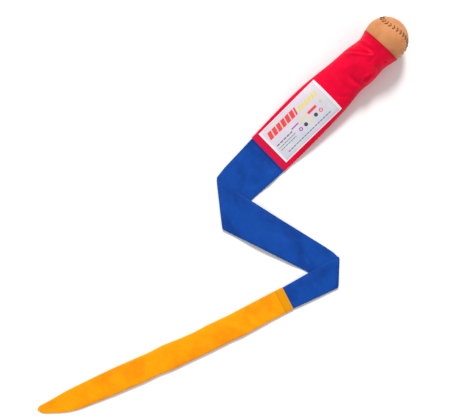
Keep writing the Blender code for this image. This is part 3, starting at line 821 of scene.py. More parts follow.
@dataclass(frozen=True)
class Wrinkle:
    """A ridge (or, with a negative height, a valley) along a short path on a cloth, in millimetres."""
    path: tuple[tuple[float, float], ...]
    width: float
    height: float

    def at(self, along: float, across: float) -> float:
        """Its height in metres at a place on the cloth, given in metres."""
        x, y = along / MM, across / MM
        best, where = 1e9, 0.0
        count = len(self.path) - 1
        for i in range(count):
            (ax, ay), (bx, by) = self.path[i], self.path[i + 1]
            dx, dy = bx - ax, by - ay
            share = clamp(((x - ax) * dx + (y - ay) * dy) / (dx * dx + dy * dy))
            gap = math.hypot(x - ax - dx * share, y - ay - dy * share)
            if gap < best:
                best, where = gap, (i + share) / count
        if best > 3 * self.width:
            return 0.0
        fade = min(ease(where, -0.15, 0.3), ease(where, 1.15, 0.7))
        return self.height * MM * math.exp(-(best / self.width) ** 2) * fade


def fold_round(turn: float) -> tuple[float, float]:
    """A pressed tube's share across and its side, 1 on top and -1 under, from a share round it."""
    return math.cos(math.tau * turn), (1.0 if turn <= 0.5 else -1.0)


def fold_cut(turn: float) -> float:
    """Where a share round a pressed tube lies on its flat cut."""
    share, side = fold_round(turn)
    return (1 - share) / 4 if side > 0 else 0.5 + (1 + share) / 4


def upward(place: Vector) -> Vector:
    """Straight up, the outward direction of cloth that lies flat."""
    return Vector((0, 0, 1))


# ---- Thread rows -------------------------------------------------------------------------------
class Stitch(Enum):
    """Kinds of machine stitch: the thread's thickness, a stitch's length and the gap, in millimetres."""
    JOINT = (0.40, 2.4, 0.8)
    SIDE = (0.35, 2.4, 0.9)
    LABEL = (0.35, 2.2, 0.8)
    TIP = (0.40, 1.6, 0.5)


class Needlework:
    """Rows of machine stitches, all copied from one modelled stitch."""

    def __init__(self) -> None:
        """Model the stitch."""
        self.pattern = stitch_pattern()

    def sew(self, name: str, route: Sequence[Vector], outward: Callable[[Vector], Vector], kind: Stitch,
            material: bpy.types.Material, body: str, node: str, closed: bool = False) -> None:
        """Sew stitches along a route, and let them ride on a body.

        Args:
            name: the piece's name.
            route: points on the cloth.
            outward: the cloth's outward direction at a point.
            kind: the kind of stitch.
            material: the thread's material.
            body: the body that the row moves with.
            node: the node that the row stands for.
            closed: whether the route returns to its start.
        """
        thread, stitch, gap = (size * MM for size in kind.value)
        points = list(route) + ([route[0]] if closed else [])
        line = np.array([tuple(p) for p in points])
        travel = np.concatenate([[0], np.cumsum(np.linalg.norm(np.diff(line, axis=0), axis=1))])
        count = max(1, round(travel[-1] / (stitch + gap)))
        pitch = travel[-1] / count

        def read(distance: float) -> Vector:
            """The point at this distance along the route."""
            return Vector([float(np.interp(distance, travel, line[:, k])) for k in range(3)])

        placings = []
        for i in range(count):
            middle = (i + 0.5) * pitch
            a, b = read(middle - stitch / 2), read(middle + stitch / 2)
            forward = (b - a).normalized()
            up = outward((a + b) / 2)
            up = (up - forward * up.dot(forward)).normalized()
            aside = forward.cross(up)

            def place(co: Vector, a=a, b=b, up=up, aside=aside) -> Vector:
                """Lay one stitch, arched between its holes."""
                arch = thread * 0.35 * (1 - 4 * co.x * co.x)
                return a.lerp(b, co.x + 0.5) + aside * (co.y * thread) + up * (co.z * thread + arch)

            placings.append(place)
        piece = join_copies(name, self.pattern, placings)
        shade(piece, material)
        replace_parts(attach(piece, body), node)
        LOG.info("%s: %d stitches", name, count)

    def put_away(self) -> None:
        """Remove the pattern when all rows are sewn."""
        bpy.data.objects.remove(self.pattern)


# ---- Ball --------------------------------------------------------------------------------------
@dataclass
class StitchedBall:
    """The leather ball: two figure-of-eight panels, herringbone stitches and the filling."""
    layout: Layout
    needlework: Needlework
    seam_shape: float = 0.740            # share of the slow wave in the seam curve
    turn: tuple = (math.radians(122.5), math.radians(-11.5), math.radians(41.5))
    leather: float = 1.5 * MM
    seam_gap: float = 0.5 * MM
    groove: float = 0.9 * MM             # how far the stitches pull the edges down
    groove_reach: float = 4.6 * MM
    lace: float = 1.30 * MM              # thickness of the waxed thread
    hole_reach: float = 4.6 * MM         # from the seam to the needle holes
    pitch: float = 7.0 * MM
    sweep: float = -3.2 * MM             # how far a chevron points along the seam, against its run
    columns: int = 96
    rows: int = 190
    samples: int = 2400

    def __post_init__(self) -> None:
        """Measure the seam once."""
        self.line = np.array([tuple(self.seam(math.tau * i / self.samples)) for i in range(self.samples)])
        steps = np.linalg.norm(np.roll(self.line, -1, axis=0) - self.line, axis=1) * self.layout.radius
        self.travel = np.concatenate([[0], np.cumsum(steps)])
        self.count = round(self.travel[-1] / self.pitch)
        turned = Euler(self.turn, "XYZ").to_matrix().to_4x4()
        self.to_place = Matrix.Translation(self.layout.ball_centre) @ turned

    def seam(self, t: float) -> Vector:
        """The seam on a sphere of radius 1, t from 0 to one full turn."""
        slow, fast = self.seam_shape, 1 - self.seam_shape
        return Vector((slow * math.sin(t) + fast * math.sin(3 * t), slow * math.cos(t) - fast * math.cos(3 * t),
                       2 * math.sqrt(slow * fast) * math.cos(2 * t))).normalized()

    def across(self, t: float) -> Vector:
        """Unit vector on the sphere, across the seam and into the panel with its neck at +Z."""
        point = self.seam(t)
        side = (self.seam(t + 0.001) - self.seam(t - 0.001)).cross(point).normalized()
        flat = point.copy()
        flat.y = 0
        return side if side.dot(flat) > side.y * point.y else -side

    def leather_radius(self, direction: Vector) -> float:
        """Radius of the leather's outside: pulled down beside the seam, and puffed between its holes."""
        gaps = np.linalg.norm(self.line - np.array(direction), axis=1)
        i = int(gaps.argmin())
        off = float(gaps[i]) * self.layout.radius
        sunk = self.groove * (1 - ease(off, 0.3 * MM, self.groove_reach))
        phase = self.travel[i] / self.travel[-1] * self.count
        pulled = 0.28 * MM * math.exp(-((off - self.hole_reach) / (1.3 * MM)) ** 2) * (
            0.5 + 0.5 * math.cos(math.tau * phase))
        lip = 0.22 * MM * math.exp(-((off - 1.3 * MM) / (0.9 * MM)) ** 2)
        lip *= 0.6 - 0.4 * math.cos(math.tau * phase)
        waves = 0.12 * MM * noise.noise(direction * 5.0)
        return self.layout.radius - sunk - pulled + lip + waves

    def panel(self, name: str, own_turn: Matrix, material: bpy.types.Material) -> Thing:
        """One leather panel, cut as a figure of eight and stretched over the winding.

        Args:
            name: the piece's name.
            own_turn: the panel's own turn about the ball's centre.
            material: the leather.

        Returns:
            The panel, riding on the head.
        """
        inset = self.seam_gap / 2 / self.layout.radius

        def place(column: float, row: float) -> Vector:
            """A point of the panel from its shares across and along."""
            t = math.pi * (row - 0.5) * 0.99999
            edge = self.seam(t)
            share = math.sin(math.pi * (column - 0.5))
            limit = math.asin(clamp(abs(edge.y)))
            shrink = clamp(1 - inset / max(limit, 1e-4), 0.0, 1.0)
            y = math.copysign(math.sin(limit * abs(share) * shrink), edge.y * share)
            reach = math.sqrt(max(1 - y * y, 0) / max(edge.x ** 2 + edge.z ** 2, 1e-9))
            direction = Vector((edge.x * reach, y, edge.z * reach)).normalized()
            return direction * self.leather_radius(direction)

        thing = cloth(name, self.columns, self.rows, place, (0.08, 0.13))
        thing.data.transform(self.to_place @ own_turn)
        centre = self.layout.ball_centre
        if sum((face.center - centre).dot(face.normal) for face in thing.data.polygons) < 0:
            turn_over(thing)
        thicken(thing, self.leather)
        shade(thing, material)
        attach(thing, "head")
        return thing

    def lacing(self, material: bpy.types.Material) -> Thing:
        """The herringbone stitches: two strands from the needle holes down to the seam, over and over.

        Args:
            material: the waxed thread.

        Returns:
            The stitches as one piece, riding on the head.
        """
        base = self.layout.radius + 0.05 * MM
        placings = []
        for i in range(self.count):
            spot = self.travel[-1] * i / self.count
            t, ahead = (math.tau * float(np.interp(s, self.travel, np.arange(self.samples + 1))) / self.samples
                        for s in (spot, (spot + self.sweep) % self.travel[-1]))
            for side in (-1, 1):
                aside = self.across(t) * side
                hole = (self.seam(t) + aside * (self.hole_reach / self.layout.radius)).normalized()
                tip = self.seam(ahead) + self.across(ahead) * side * (0.25 * MM / self.layout.radius)
                tip.normalize()
                strand = (tip - hole).normalized()

                def place(co: Vector, hole=hole, tip=tip, strand=strand) -> Vector:
                    """Lay one strand over the leather's lip."""
                    share = co.x + 0.5
                    direction = hole.lerp(tip, share).normalized()
                    rise = mix(-0.55, -0.75, share) * MM + 0.75 * MM * math.sin(math.pi * share)
                    wide = self.lace * (1.05 if share < 0.9 else 0.8)
                    aside = strand.cross(direction).normalized()
                    return direction * (base + rise + co.z * self.lace * 0.8) + aside * (co.y * wide)

                placings.append(place)
        piece = join_copies("herringbone_stitches", self.needlework.pattern, placings)
        piece.data.transform(self.to_place)
        shade(piece, material)
        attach(piece, "head")
        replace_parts(piece, "cover_lacing")
        return piece

    def build(self) -> None:
        """Make the ball and dress its filling."""
        leather = LeatherFinish().build()
        swap = Matrix.Rotation(math.pi, 4, Vector((1, 1, 0)).normalized())
        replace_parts(self.panel("leather_panel_a", Matrix(), leather), "cover_panel_a")
        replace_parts(self.panel("leather_panel_b", swap, leather), "cover_panel_b")
        self.lacing(ThreadFinish("brown_waxed_cotton_thread", "3E2116", "1E0E08", 0.8 * MM, 0.6).build())
        cork = CoreFinish("pressed_cork_and_rubber", "7A4B35", "A77C58", 2.5 * MM, False).build()
        yarn = CoreFinish("wound_wool_yarn", "C9C2B4", "A9A294", 1.2 * MM, True).build()
        for node, material in (("ball_core", cork), ("core_winding", yarn)):
            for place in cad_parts[node].material_slots:
                place.material = material
        LOG.info("ball: two panels and %d chevrons", self.count)


# ---- Red sleeve --------------------------------------------------------------------------------
@dataclass
class RedSleeve:
    """The red sleeve: round at the ball, then a tent that falls and flattens to its seam."""
    layout: Layout
    needlework: Needlework
    mouth: float = 0.012
    mouth_radius: float = 0.03577
    mouth_tilt: float = math.radians(7.0)
    mouth_yaw: float = math.radians(2.9)
    hem: float = 0.016
    end_height: float = 0.0050
    neck: float = 0.062
    wall: float = 0.35 * MM
    columns: int = 176
    rows: int = 230
    label_start: float = 0.1286
    label_end: float = 0.2534
    label_low: float = 0.0300
    label_high: float = -0.0350
    seam_start: float = 0.095             # where the side seam's thread can be seen
    seam_length: float = 0.157
    cut_width: float = 0.225              # round the tube at its widest
    cut_area: float = 0.0485
    # half width in millimetres at the outline's turning points: the mouth, the waist behind the ball, the
    # swell of the neck, the pinch before the label, the label's middle and the seam
    sewn_edge: tuple = ((12, 36), (35, 31), (60, 33.5), (85, 31.5), (125, 35.5), (190, 38), (265, 38.5))
    plain_edge: tuple = ((12, 35), (28, 31), (55, 33.5), (90, 35.5), (140, 40.5), (180, 41.5), (265, 39))
    # folds of the neck: a valley and a ridge run down from the plain edge, smaller ones lie between them
    # and the mouth, a ridge curves round the sewn side, and a trough crosses in front of the label
    folds: tuple = (
        Wrinkle(((60, -32), (35, 0)), 2.2, -2.1), Wrinkle(((65, -30), (35, 5)), 2.4, 1.9),
        Wrinkle(((36, -25), (30, 0)), 3.2, -1.8), Wrinkle(((30, -30), (25, -10)), 2.4, 1.1),
        Wrinkle(((40, -25), (36, -5)), 1.7, 1.3), Wrinkle(((30, 5), (52, 8)), 3.0, -1.8),
        Wrinkle(((45, 14), (60, 21), (75, 18)), 2.1, 2.6), Wrinkle(((55, 25), (75, 22)), 1.8, -1.9),
        Wrinkle(((45, 22), (45, 32)), 3.0, -2.7), Wrinkle(((50, 32), (75, 27)), 2.5, 1.8),
        Wrinkle(((85, 0), (85, 15), (75, 35)), 3.8, -2.6), Wrinkle(((92, -5), (94, 15), (88, 32)), 5.2, 1.1),
        Wrinkle(((60, -5), (90, -15)), 6.8, 1.4), Wrinkle(((85, -36), (110, -18)), 3.8, 1.0),
        Wrinkle(((92, -39), (118, -30)), 3.0, -1.4), Wrinkle(((100, 34), (122, 10)), 3.0, -1.0),
        Wrinkle(((150, 36), (190, 36)), 3.0, -0.8), Wrinkle(((196, 36), (240, 36)), 3.0, 0.6),
        Wrinkle(((140, -41), (184, -41)), 3.0, -0.8),
    )
    # gathers at the mouth's sewn corner: where each starts, how far it leans, its width and its height
    gathers: tuple = ((20, 6, 1.8, 1.4), (26, 2, 1.2, -1.4), (31, 10, 1.4, -2.7), (37, 10, 2.0, 2.1))

    @property
    def wrinkles(self) -> tuple[Wrinkle, ...]:
        """The folds of the neck and the gathers, which fan out from the mouth's sewn corner."""
        return self.folds + tuple(Wrinkle(((start, 20), (start - lean, 36)), width, height)
                                  for start, lean, width, height in self.gathers)

    def share(self, behind: float) -> float:
        """How far the sleeve has come from round to flat."""
        return clamp((behind - self.mouth) / (self.layout.red_end - self.hem - self.mouth))

    def half(self, behind: float, share: float) -> float:
        """Half width to the edge that this share across points to."""
        return flowing(self.sewn_edge if share > 0 else self.plain_edge, behind / MM) * MM

    def relief(self, behind: float, across: float, side: float) -> float:
        """How far the cloth stands off its smooth shape."""
        end = self.layout.red_end
        calm = ease(behind, self.mouth, self.mouth + 7 * MM) * ease(behind, end, end - 14 * MM)
        calm *= 1 - min(abs(across / self.half(behind, across)), 1.0) ** 8
        slack = 1 - 0.75 * ease(behind, 0.075, 0.135)
        small = 0.7 * MM * rumple(behind, across, 3.1, 17 * MM)
        small += 0.28 * MM * rumple(behind, across, 8.2, 7 * MM)
        if side < 0:
            return calm * slack * small * 1.5
        flat_label = ease(behind, self.label_start - 6 * MM, self.label_start + 4 * MM)
        total = sum(wrinkle.at(behind, across) for wrinkle in self.wrinkles)
        return calm * (total + slack * (1.2 - 0.8 * flat_label) * small)

    def point(self, behind: float, share: float, side: float = 1.0, lift: float = 0.0) -> Vector:
        """A point on the sleeve.

        Args:
            behind: distance behind the ball's centre.
            share: share across, 1 at the sewn edge and -1 at the plain edge.
            side: 1 on top, -1 underneath.
            lift: height off the cloth.

        Returns:
            The point in the row frame.
        """
        round_to_flat = ease(self.share(behind), 0.3, 1.0) ** 2
        n = mix(2.0, 6.0, round_to_flat)
        half = self.half(behind, share)
        height = mix(2 * self.mouth_radius, self.end_height, self.share(behind))
        base = (self.layout.radius - self.mouth_radius) * (1 - ease(behind, self.mouth + 6 * MM, self.neck))
        level = (1 - min(abs(share), 1.0) ** n) ** (1 / n) * side
        slope = Vector((math.copysign(abs(share) ** (n - 1), share) / half,
                        math.copysign(abs(level) ** (n - 1), level) / (height / 2)))
        normal = slope.normalized()
        off = self.relief(behind, share * half, side) + lift
        across = share * half + normal.x * off
        up = base + height / 2 * (1 + level) + normal.y * off
        # the cloth drapes over the ball's back first, and then hangs a little below the straight line
        sag = 3.0 * MM * math.sin(math.pi * self.share(behind)) * ease(behind, 0.05, 0.10) * max(level, 0)
        return self.lean(behind, across, up - sag)

    def lean(self, behind: float, across: float, up: float) -> Vector:
        """Turn a point about the ball's centre, as the mouth is sewn on askew.

        Args:
            behind: distance behind the ball's centre.
            across: distance across the sleeve.
            up: height.

        Returns:
            The point in the row frame. The turn fades out behind the ball.
        """
        fade = 1 - ease(behind, self.mouth, self.neck)
        tilt, yaw = self.mouth_tilt * fade, self.mouth_yaw * fade
        up -= self.layout.radius
        behind, up = (behind * math.cos(tilt) + up * math.sin(tilt),
                      up * math.cos(tilt) - behind * math.sin(tilt))
        behind, across = (behind * math.cos(yaw) - across * math.sin(yaw),
                          across * math.cos(yaw) + behind * math.sin(yaw))
        return Vector((*self.layout.red.point(behind, across), max(up + self.layout.radius, 0.05 * MM)))

    def top(self, behind: float, across: float, lift: float) -> Vector:
        """A point above the sleeve's top at a distance across it."""
        share = clamp(across / self.half(behind, across), -1, 1)
        return self.point(behind, share, 1.0, lift)

    def sleeve(self) -> Thing:
        """The sleeve itself, in one cloth from the ball to its seam.

        Returns:
            The cloth, from the ball's mouth to its seam with the blue sleeve.
        """
        length = self.layout.red_end - self.mouth

        def place(turn: float, along: float) -> Vector:
            """A point of the tube from its shares round and along."""
            share, side = fold_round(turn)
            return self.point(self.mouth + length * along, share, side)

        thing = cloth("red_nylon_sleeve", self.columns, self.rows, place, (0.19, length), fold_cut,
                      lambda x: x ** 1.15)
        thicken(thing, self.wall)
        dark_bands = (DarkBand(0.0, 2.2 * MM, 0.55), DarkBand(length - 13 * MM, length, 0.85, "CE1040"))
        finish = NylonFinish("red_coated_nylon_taffeta", "F20036", "C00028", "FF0C44", dark_bands, 0.4, 0.3)
        shade(thing, finish.build())
        self.axis_point(self.neck - 20 * MM)
        self.axis_point(self.neck + 20 * MM)
        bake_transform(thing)
        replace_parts(thing, "red_collar", "red_neck", "red_sleeve")
        return thing

    def axis_point(self, behind: float) -> tuple[float, float, float]:
        """A point on the sleeve's middle line at the neck's height."""
        return (*self.layout.red.point(behind, 0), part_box("red_neck")[0].z + 0.0288)

    def label(self) -> Thing:
        """The printed label, laid over the sleeve's top and sewn down round its border.

        Returns:
            The label, riding on the upper tail.
        """
        length = self.label_end - self.label_start
        width = self.label_low - self.label_high

        def place(x: float, y: float) -> Vector:
            """A point of the label from its shares along and across."""
            edge = min(x, 1 - x) * length, min(y, 1 - y) * width
            inner = min(edge)
            puff = 0.35 * MM * ease(inner, 1 * MM, 6 * MM)
            puff -= 0.15 * MM * math.exp(-((inner - 2.5 * MM) / (1.1 * MM)) ** 2)
            behind = self.label_end - x * length
            return self.top(behind, self.label_low - y * width, 0.75 * MM + puff)

        thing = cloth("printed_label", 124, 72, place, (length, width))
        thicken(thing, 0.3 * MM)
        shade(thing, LabelFinish(length=length / MM, width=width / MM).build())
        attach(thing, "upper_tail")
        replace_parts(thing, "label")
        return thing

    def stitches(self, thread: bpy.types.Material, white: bpy.types.Material) -> None:
        """The rows of thread at the mouth, on the label and along the side seam.

        Args:
            thread: red thread.
            white: the label's thread.
        """
        axis = self.layout.red.point(0, 0)
        middle = Vector((*axis, self.layout.radius))

        def from_axis(p: Vector) -> Vector:
            """Outward from the tail's middle line."""
            along = Vector((math.cos(self.layout.tail_heading), math.sin(self.layout.tail_heading), 0))
            off = p - middle
            return (off - along * off.dot(along)).normalized()

        ring = [self.point(self.mouth + 3 * MM, *fold_round(i / 120), 0.1 * MM) for i in range(120)]
        sew = self.needlework.sew
        sew("mouth_stitches", ring, from_axis, Stitch.JOINT, thread, "head", "mouth_thread", True)
        inset = 2.5 * MM
        first, last = self.label_start + inset, self.label_end - inset
        low, high = self.label_low - inset, self.label_high + inset
        corners = [(first, high), (first, low), (last, low), (last, high)]
        route = []
        for (a, c), (b, d) in zip(corners, corners[1:] + corners[:1]):
            route += [self.top(mix(a, b, i / 40), mix(c, d, i / 40), 0.85 * MM) for i in range(40)]
        sew("label_stitches", route, upward, Stitch.LABEL, white, "upper_tail", "label_thread", True)
        edge = [self.point(self.seam_start + self.seam_length * i / 60, 1.0, 1.0, 0.15 * MM) for i in range(61)]
        sew("red_side_stitches", edge, from_axis, Stitch.SIDE, thread, "upper_tail", "red_side_thread")

    def build(self) -> None:
        """Make the sleeve, its label and its stitches."""
        self.sleeve()
        self.label()
        self.stitches(ThreadFinish("red_polyester_thread", "DC0834", "A80426").build(),
                      ThreadFinish("white_polyester_thread", "E8E4EA", "B4B0BA").build())
        LOG.info("red sleeve: %d wrinkles, label %.0f mm long", len(self.wrinkles),
                 (self.label_end - self.label_start) / MM)


# ---- Blue sleeve -------------------------------------------------------------------------------
@dataclass
class BlueSleeve:
    """The blue sleeve in three runs, folded over itself twice, with the cloth's turn at each fold."""
    layout: Layout
    needlework: Needlework
    lap: float = 0.013
    lap_lift: float = 0.8 * MM
    rise: float = 0.032
    drop: float = 0.047
    stitch_line: float = 0.004
    start_height: float = 3.4 * MM
    end_height: float = 3.0 * MM
    trim: float = 0.18 * MM
    wall: float = 0.35 * MM
    columns: int = 128
    turn_width: float = 0.0135            # half the pressed pipe's round, with its laps
    turn_area: float = 0.0068             # for each metre of fold line

    def first_levels(self, along: float, place: Vector) -> tuple[float, float]:
        """Base and thickness of the first run."""
        out = ease(along, 2 * self.stitch_line, self.rise)
        fold = self.layout.first_fold
        free = mix(self.layout.thin, self.layout.full,
                   ease(fold.distance(place), fold.overlap, fold.overlap + self.rise))
        return self.lap_lift * (1 - out), mix(self.start_height, free, out)

    def second_levels(self, along: float, place: Vector) -> tuple[float, float]:
        """Base and thickness of the second run, which comes down off the first."""
        first, second = self.layout.first_fold, self.layout.second_fold
        clear = first.distance(place)
        base = self.layout.layer * (1 - ease(clear, first.overlap, first.overlap + self.drop))
        fall = ease(second.distance(place), second.overlap, second.overlap + self.rise)
        return base, mix(self.layout.thin, self.layout.full, ease(clear, 0.010, first.overlap) * fall)

    def third_levels(self, along: float, place: Vector) -> tuple[float, float]:
        """Base and thickness of the third run, which goes into the yellow cuff."""
        fold = self.layout.second_fold
        clear = fold.distance(place)
        base = mix(self.layout.layer, 2 * self.lap_lift, ease(clear, fold.overlap, fold.overlap + self.rise))
        if along > self.layout.third_length - self.stitch_line:
            base = 2 * self.lap_lift
        full = ease(clear, 0.008, fold.overlap - self.layout.cover_margin)
        thickness = mix(self.layout.thin, self.end_height, full)
        return base, thickness

    def run(self, name: str, stretch: Stretch, travel: float, span: tuple[float, float],
            slants: tuple[float, float, float, float], levels: Callable, rows: int, seed: float,
            puckers: tuple[Wrinkle, ...], dark_bands: tuple[DarkBand, ...], corners: tuple[Corner, ...] = (),
            drift: Drift = Drift()) -> tuple[Thing, Place]:
        """One straight run of the sleeve.

        Args:
            name: the piece's name.
            stretch: where the run lies.
            travel: length of sleeve before it.
            span: its first and last length.
            slants: (length, slant, length, slant) that turn its sections to the folds.
            levels: gives base and thickness at a length and a place.
            rows: faces along it.
            seed: for its noise.
            puckers: its wrinkles.
            dark_bands: darker bands across it: doubled cloth at hems, and painted shade along stitches.
            corners: corners that are tucked in.
            drift: how it strays at its start.

        Returns:
            The cloth, and the function that places a point from (along, share, side, lift).
        """
        start, first, end, last = slants

        def point(along: float, share: float, side: float = 1.0, lift: float = 0.0) -> Vector:
            """A point on the run."""
            slant = mix(first, last, clamp((along - start) / (end - start)))
            across = 0.0
            for _ in range(4):
                at = along + slant * across
                half = self.layout.blue_half(travel + at) + drift.widen(at)
                edge = stretch.point(at, math.copysign(half, share) + drift.shift(at))
                tuck = sum(corner.inset(edge, share) for corner in corners)
                across = share * (half - tuck) + drift.shift(at)
            at = along + slant * across
            ground = stretch.point(at, across)
            base, thickness = levels(at, ground)
            level = (1 - min(abs(share), 1.0) ** 5) ** 0.25
            slack = clamp((thickness - self.layout.thin) / (self.layout.full - self.layout.thin))
            room = slack * (1 - abs(share) ** 6)
            relief = room * (0.55 * MM * rumple(at, across, seed, 30 * MM)
                             + 0.22 * MM * rumple(at, across, seed + 4, 10 * MM))
            relief += (1 - abs(share) ** 8) * sum(pucker.at(at, across) for pucker in puckers)
            if side < 0:
                relief = 0.0
            height = base + thickness / 2 * (1 + side * level) + relief + lift
            return Vector((*ground, max(height, 0.02 * MM)))

        def place(turn: float, along: float) -> Vector:
            """A point of the tube from its shares round and along."""
            share, side = fold_round(turn)
            return point(mix(span[0], span[1], along), share, side)

        length = span[1] - span[0]
        width = 4 * self.layout.blue_half(travel + (span[0] + span[1]) / 2)
        thing = cloth(name, self.columns, rows, place, (width, length), fold_cut)
        thicken(thing, self.wall)
        finish = NylonFinish("blue_coated_nylon_taffeta", "1048A0", "08327C", "1A54AE", dark_bands, 0.55, seed)
        shade(thing, finish.build())
        return thing, point

    def crease(self, name: str, fold: FoldLine, reach: tuple[float, float], keep: tuple[Layer, Layer],
               material: bpy.types.Material) -> Thing:
        """The cloth's turn round a fold line: half a pressed pipe that joins the two layers.

        Args:
            name: the piece's name.
            fold: the fold line.
            reach: its ends, as shares of the fold line's half length.
            keep: the layer that it ends on, at each end.
            material: the cloth.

        Returns:
            The turn of cloth.
        """
        axis = self.layout.thin + 0.15 * MM
        direction = Vector((math.cos(fold.line), math.sin(fold.line)))

        def place(turn: float, along: float) -> Vector:
            """A point of the turn from its shares round and along."""
            angle = math.pi * (0.5 + turn)
            share = mix(reach[0], reach[1], along)
            size = axis * mix(0.5, 1.0, ease(min(share - reach[0], reach[1] - share), -0.01, 0.16))
            level = keep[0 if along < 0.5 else 1].value * (axis - size)
            middle = fold.centre + direction * (share * fold.half_length)
            wobble = 0.25 * MM * rumple(share * fold.half_length, 0, 5.5, 20 * MM)
            out = math.cos(angle) * (size + wobble * abs(math.cos(angle)))
            return Vector((*(middle + fold.clear_side * out), axis + level + math.sin(angle) * size))

        thing = cloth(name, 20, 80, place, (self.turn_width, 2 * fold.half_length))
        outward = sum((f.center.xy - fold.centre).dot(-fold.clear_side) * f.normal.xy.dot(-fold.clear_side)
                      for f in thing.data.polygons)
        if outward < 0:
            turn_over(thing)
        thicken(thing, self.wall)
        shade(thing, material)
        return thing

    def build(self) -> None:
        """Make the three runs, the two turns and the stitches."""
        lay = self.layout
        pucker_row = tuple(Wrinkle(((8, place), (15, place + 1.5)), 1.6, -0.45)
                           for place in (-33, -27, -16, -8, 3, 11, 22, 30))
        first, first_point = self.run(
            "blue_run_one", lay.first, 0.0, (-self.lap, lay.first_length - self.trim),
            (2 * self.stitch_line, 0.0, lay.first_length, lay.first.slant(lay.first_line)),
            self.first_levels, 120, 1.2,
            pucker_row + (Wrinkle(((3.5, -36), (3.5, 36)), 1.2, -0.5), Wrinkle(((20, -30), (48, -22)), 7, 0.8),
                          Wrinkle(((40, 24), (62, 14)), 7, -0.9)),
            # painted shade in the valley along the joint's stitches, 2.4 to 4.2 mm past the seam
            (DarkBand(self.lap + 2.4 * MM, self.lap + 4.2 * MM, 0.9),), (Corner(lay.first_fold, -1, 1.6 * MM),))
        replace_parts(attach(first, "upper_tail"), "blue_upper_run")
        second, second_point = self.run(
            "blue_run_two", lay.second, lay.first_length, (self.trim, lay.second_length - self.trim),
            (0.0, lay.second.slant(lay.first_line), lay.second_length, lay.second.slant(lay.second_line)),
            self.second_levels, 200, 2.6,
            (Wrinkle(((60, -10), (100, 6)), 10, -0.7), Wrinkle(((112, 10), (150, -6)), 10, 0.7),
             Wrinkle(((150, 4), (185, -4)), 8, -0.6)), (), (Corner(lay.second_fold, -1, 2.0 * MM, 9 * MM),),
            Drift(aside=6.1 * MM, flare=1.2 * MM))
        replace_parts(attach(second, "middle_tail"), "blue_middle_run")
        third, third_point = self.run(
            "blue_run_three", lay.third, lay.first_length + lay.second_length,
            (self.trim, lay.third_length + self.lap),
            (0.0, lay.third.slant(lay.second_line), lay.third_length - 2 * self.stitch_line, 0.0),
            self.third_levels, 110, 7.7, (Wrinkle(((48, -14), (66, 2), (70, 14)), 5, 0.5),), (),
            (Corner(lay.second_fold, -1, 5.0 * MM),))
        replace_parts(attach(third, "lower_tail"), "blue_lower_run")
        material = first.data.materials[0]
        for name, fold, reach, keep, bodies, node in (
                ("first_fold_turn", lay.first_fold, (-1.13, 0.965), (Layer.UPPER, Layer.LOWER),
                 ("upper_tail", "middle_tail"), "first_fold_crease"),
                ("second_fold_turn", lay.second_fold, (-0.965, 0.955), (Layer.UPPER, Layer.LOWER),
                 ("middle_tail", "lower_tail"), "second_fold_crease")):
            turn = self.crease(name, fold, reach, keep, material)
            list(bodies)
            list(fold.centre)
            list(fold.centre)
            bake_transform(turn)
            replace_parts(turn, node)
        self.stitches(first_point, second_point, third_point)
        LOG.info("blue sleeve: three runs and two folds")

    def stitches(self, first: Callable, second: Callable, third: Callable) -> None:
        """The rows of thread on the blue sleeve.

        Args:
            first: places a point on the first run.
            second: places a point on the second run.
            third: places a point on the third run.
        """
        thread = ThreadFinish("blue_polyester_thread", "123878", "0A2352").build()
        lay = self.layout
        ring = []
        for i in range(160):
            share, side = fold_round(i / 160)
            ring.append(first(self.stitch_line, share, side, side * 0.12 * MM))
        sew = self.needlework.sew
        sew("red_blue_joint_stitches", ring, upward, Stitch.JOINT, thread, "upper_tail",
            "red_blue_joint_thread", True)
        rows = (("blue_upper_side", first, self.lap, lay.first_length - 2 * MM, "upper_tail"),
                ("blue_middle_side", second, 4 * self.lap, lay.second_length - self.lap, "middle_tail"),
                ("blue_lower_side", third, 2 * self.lap, lay.third_length - self.stitch_line, "lower_tail"))
        for name, point, start, end, body in rows:
            edge = [point(mix(start, end, i / 50), 0.999) for i in range(51)]
            sew(name + "_stitches", edge, upward, Stitch.SIDE, thread, body, name + "_thread")


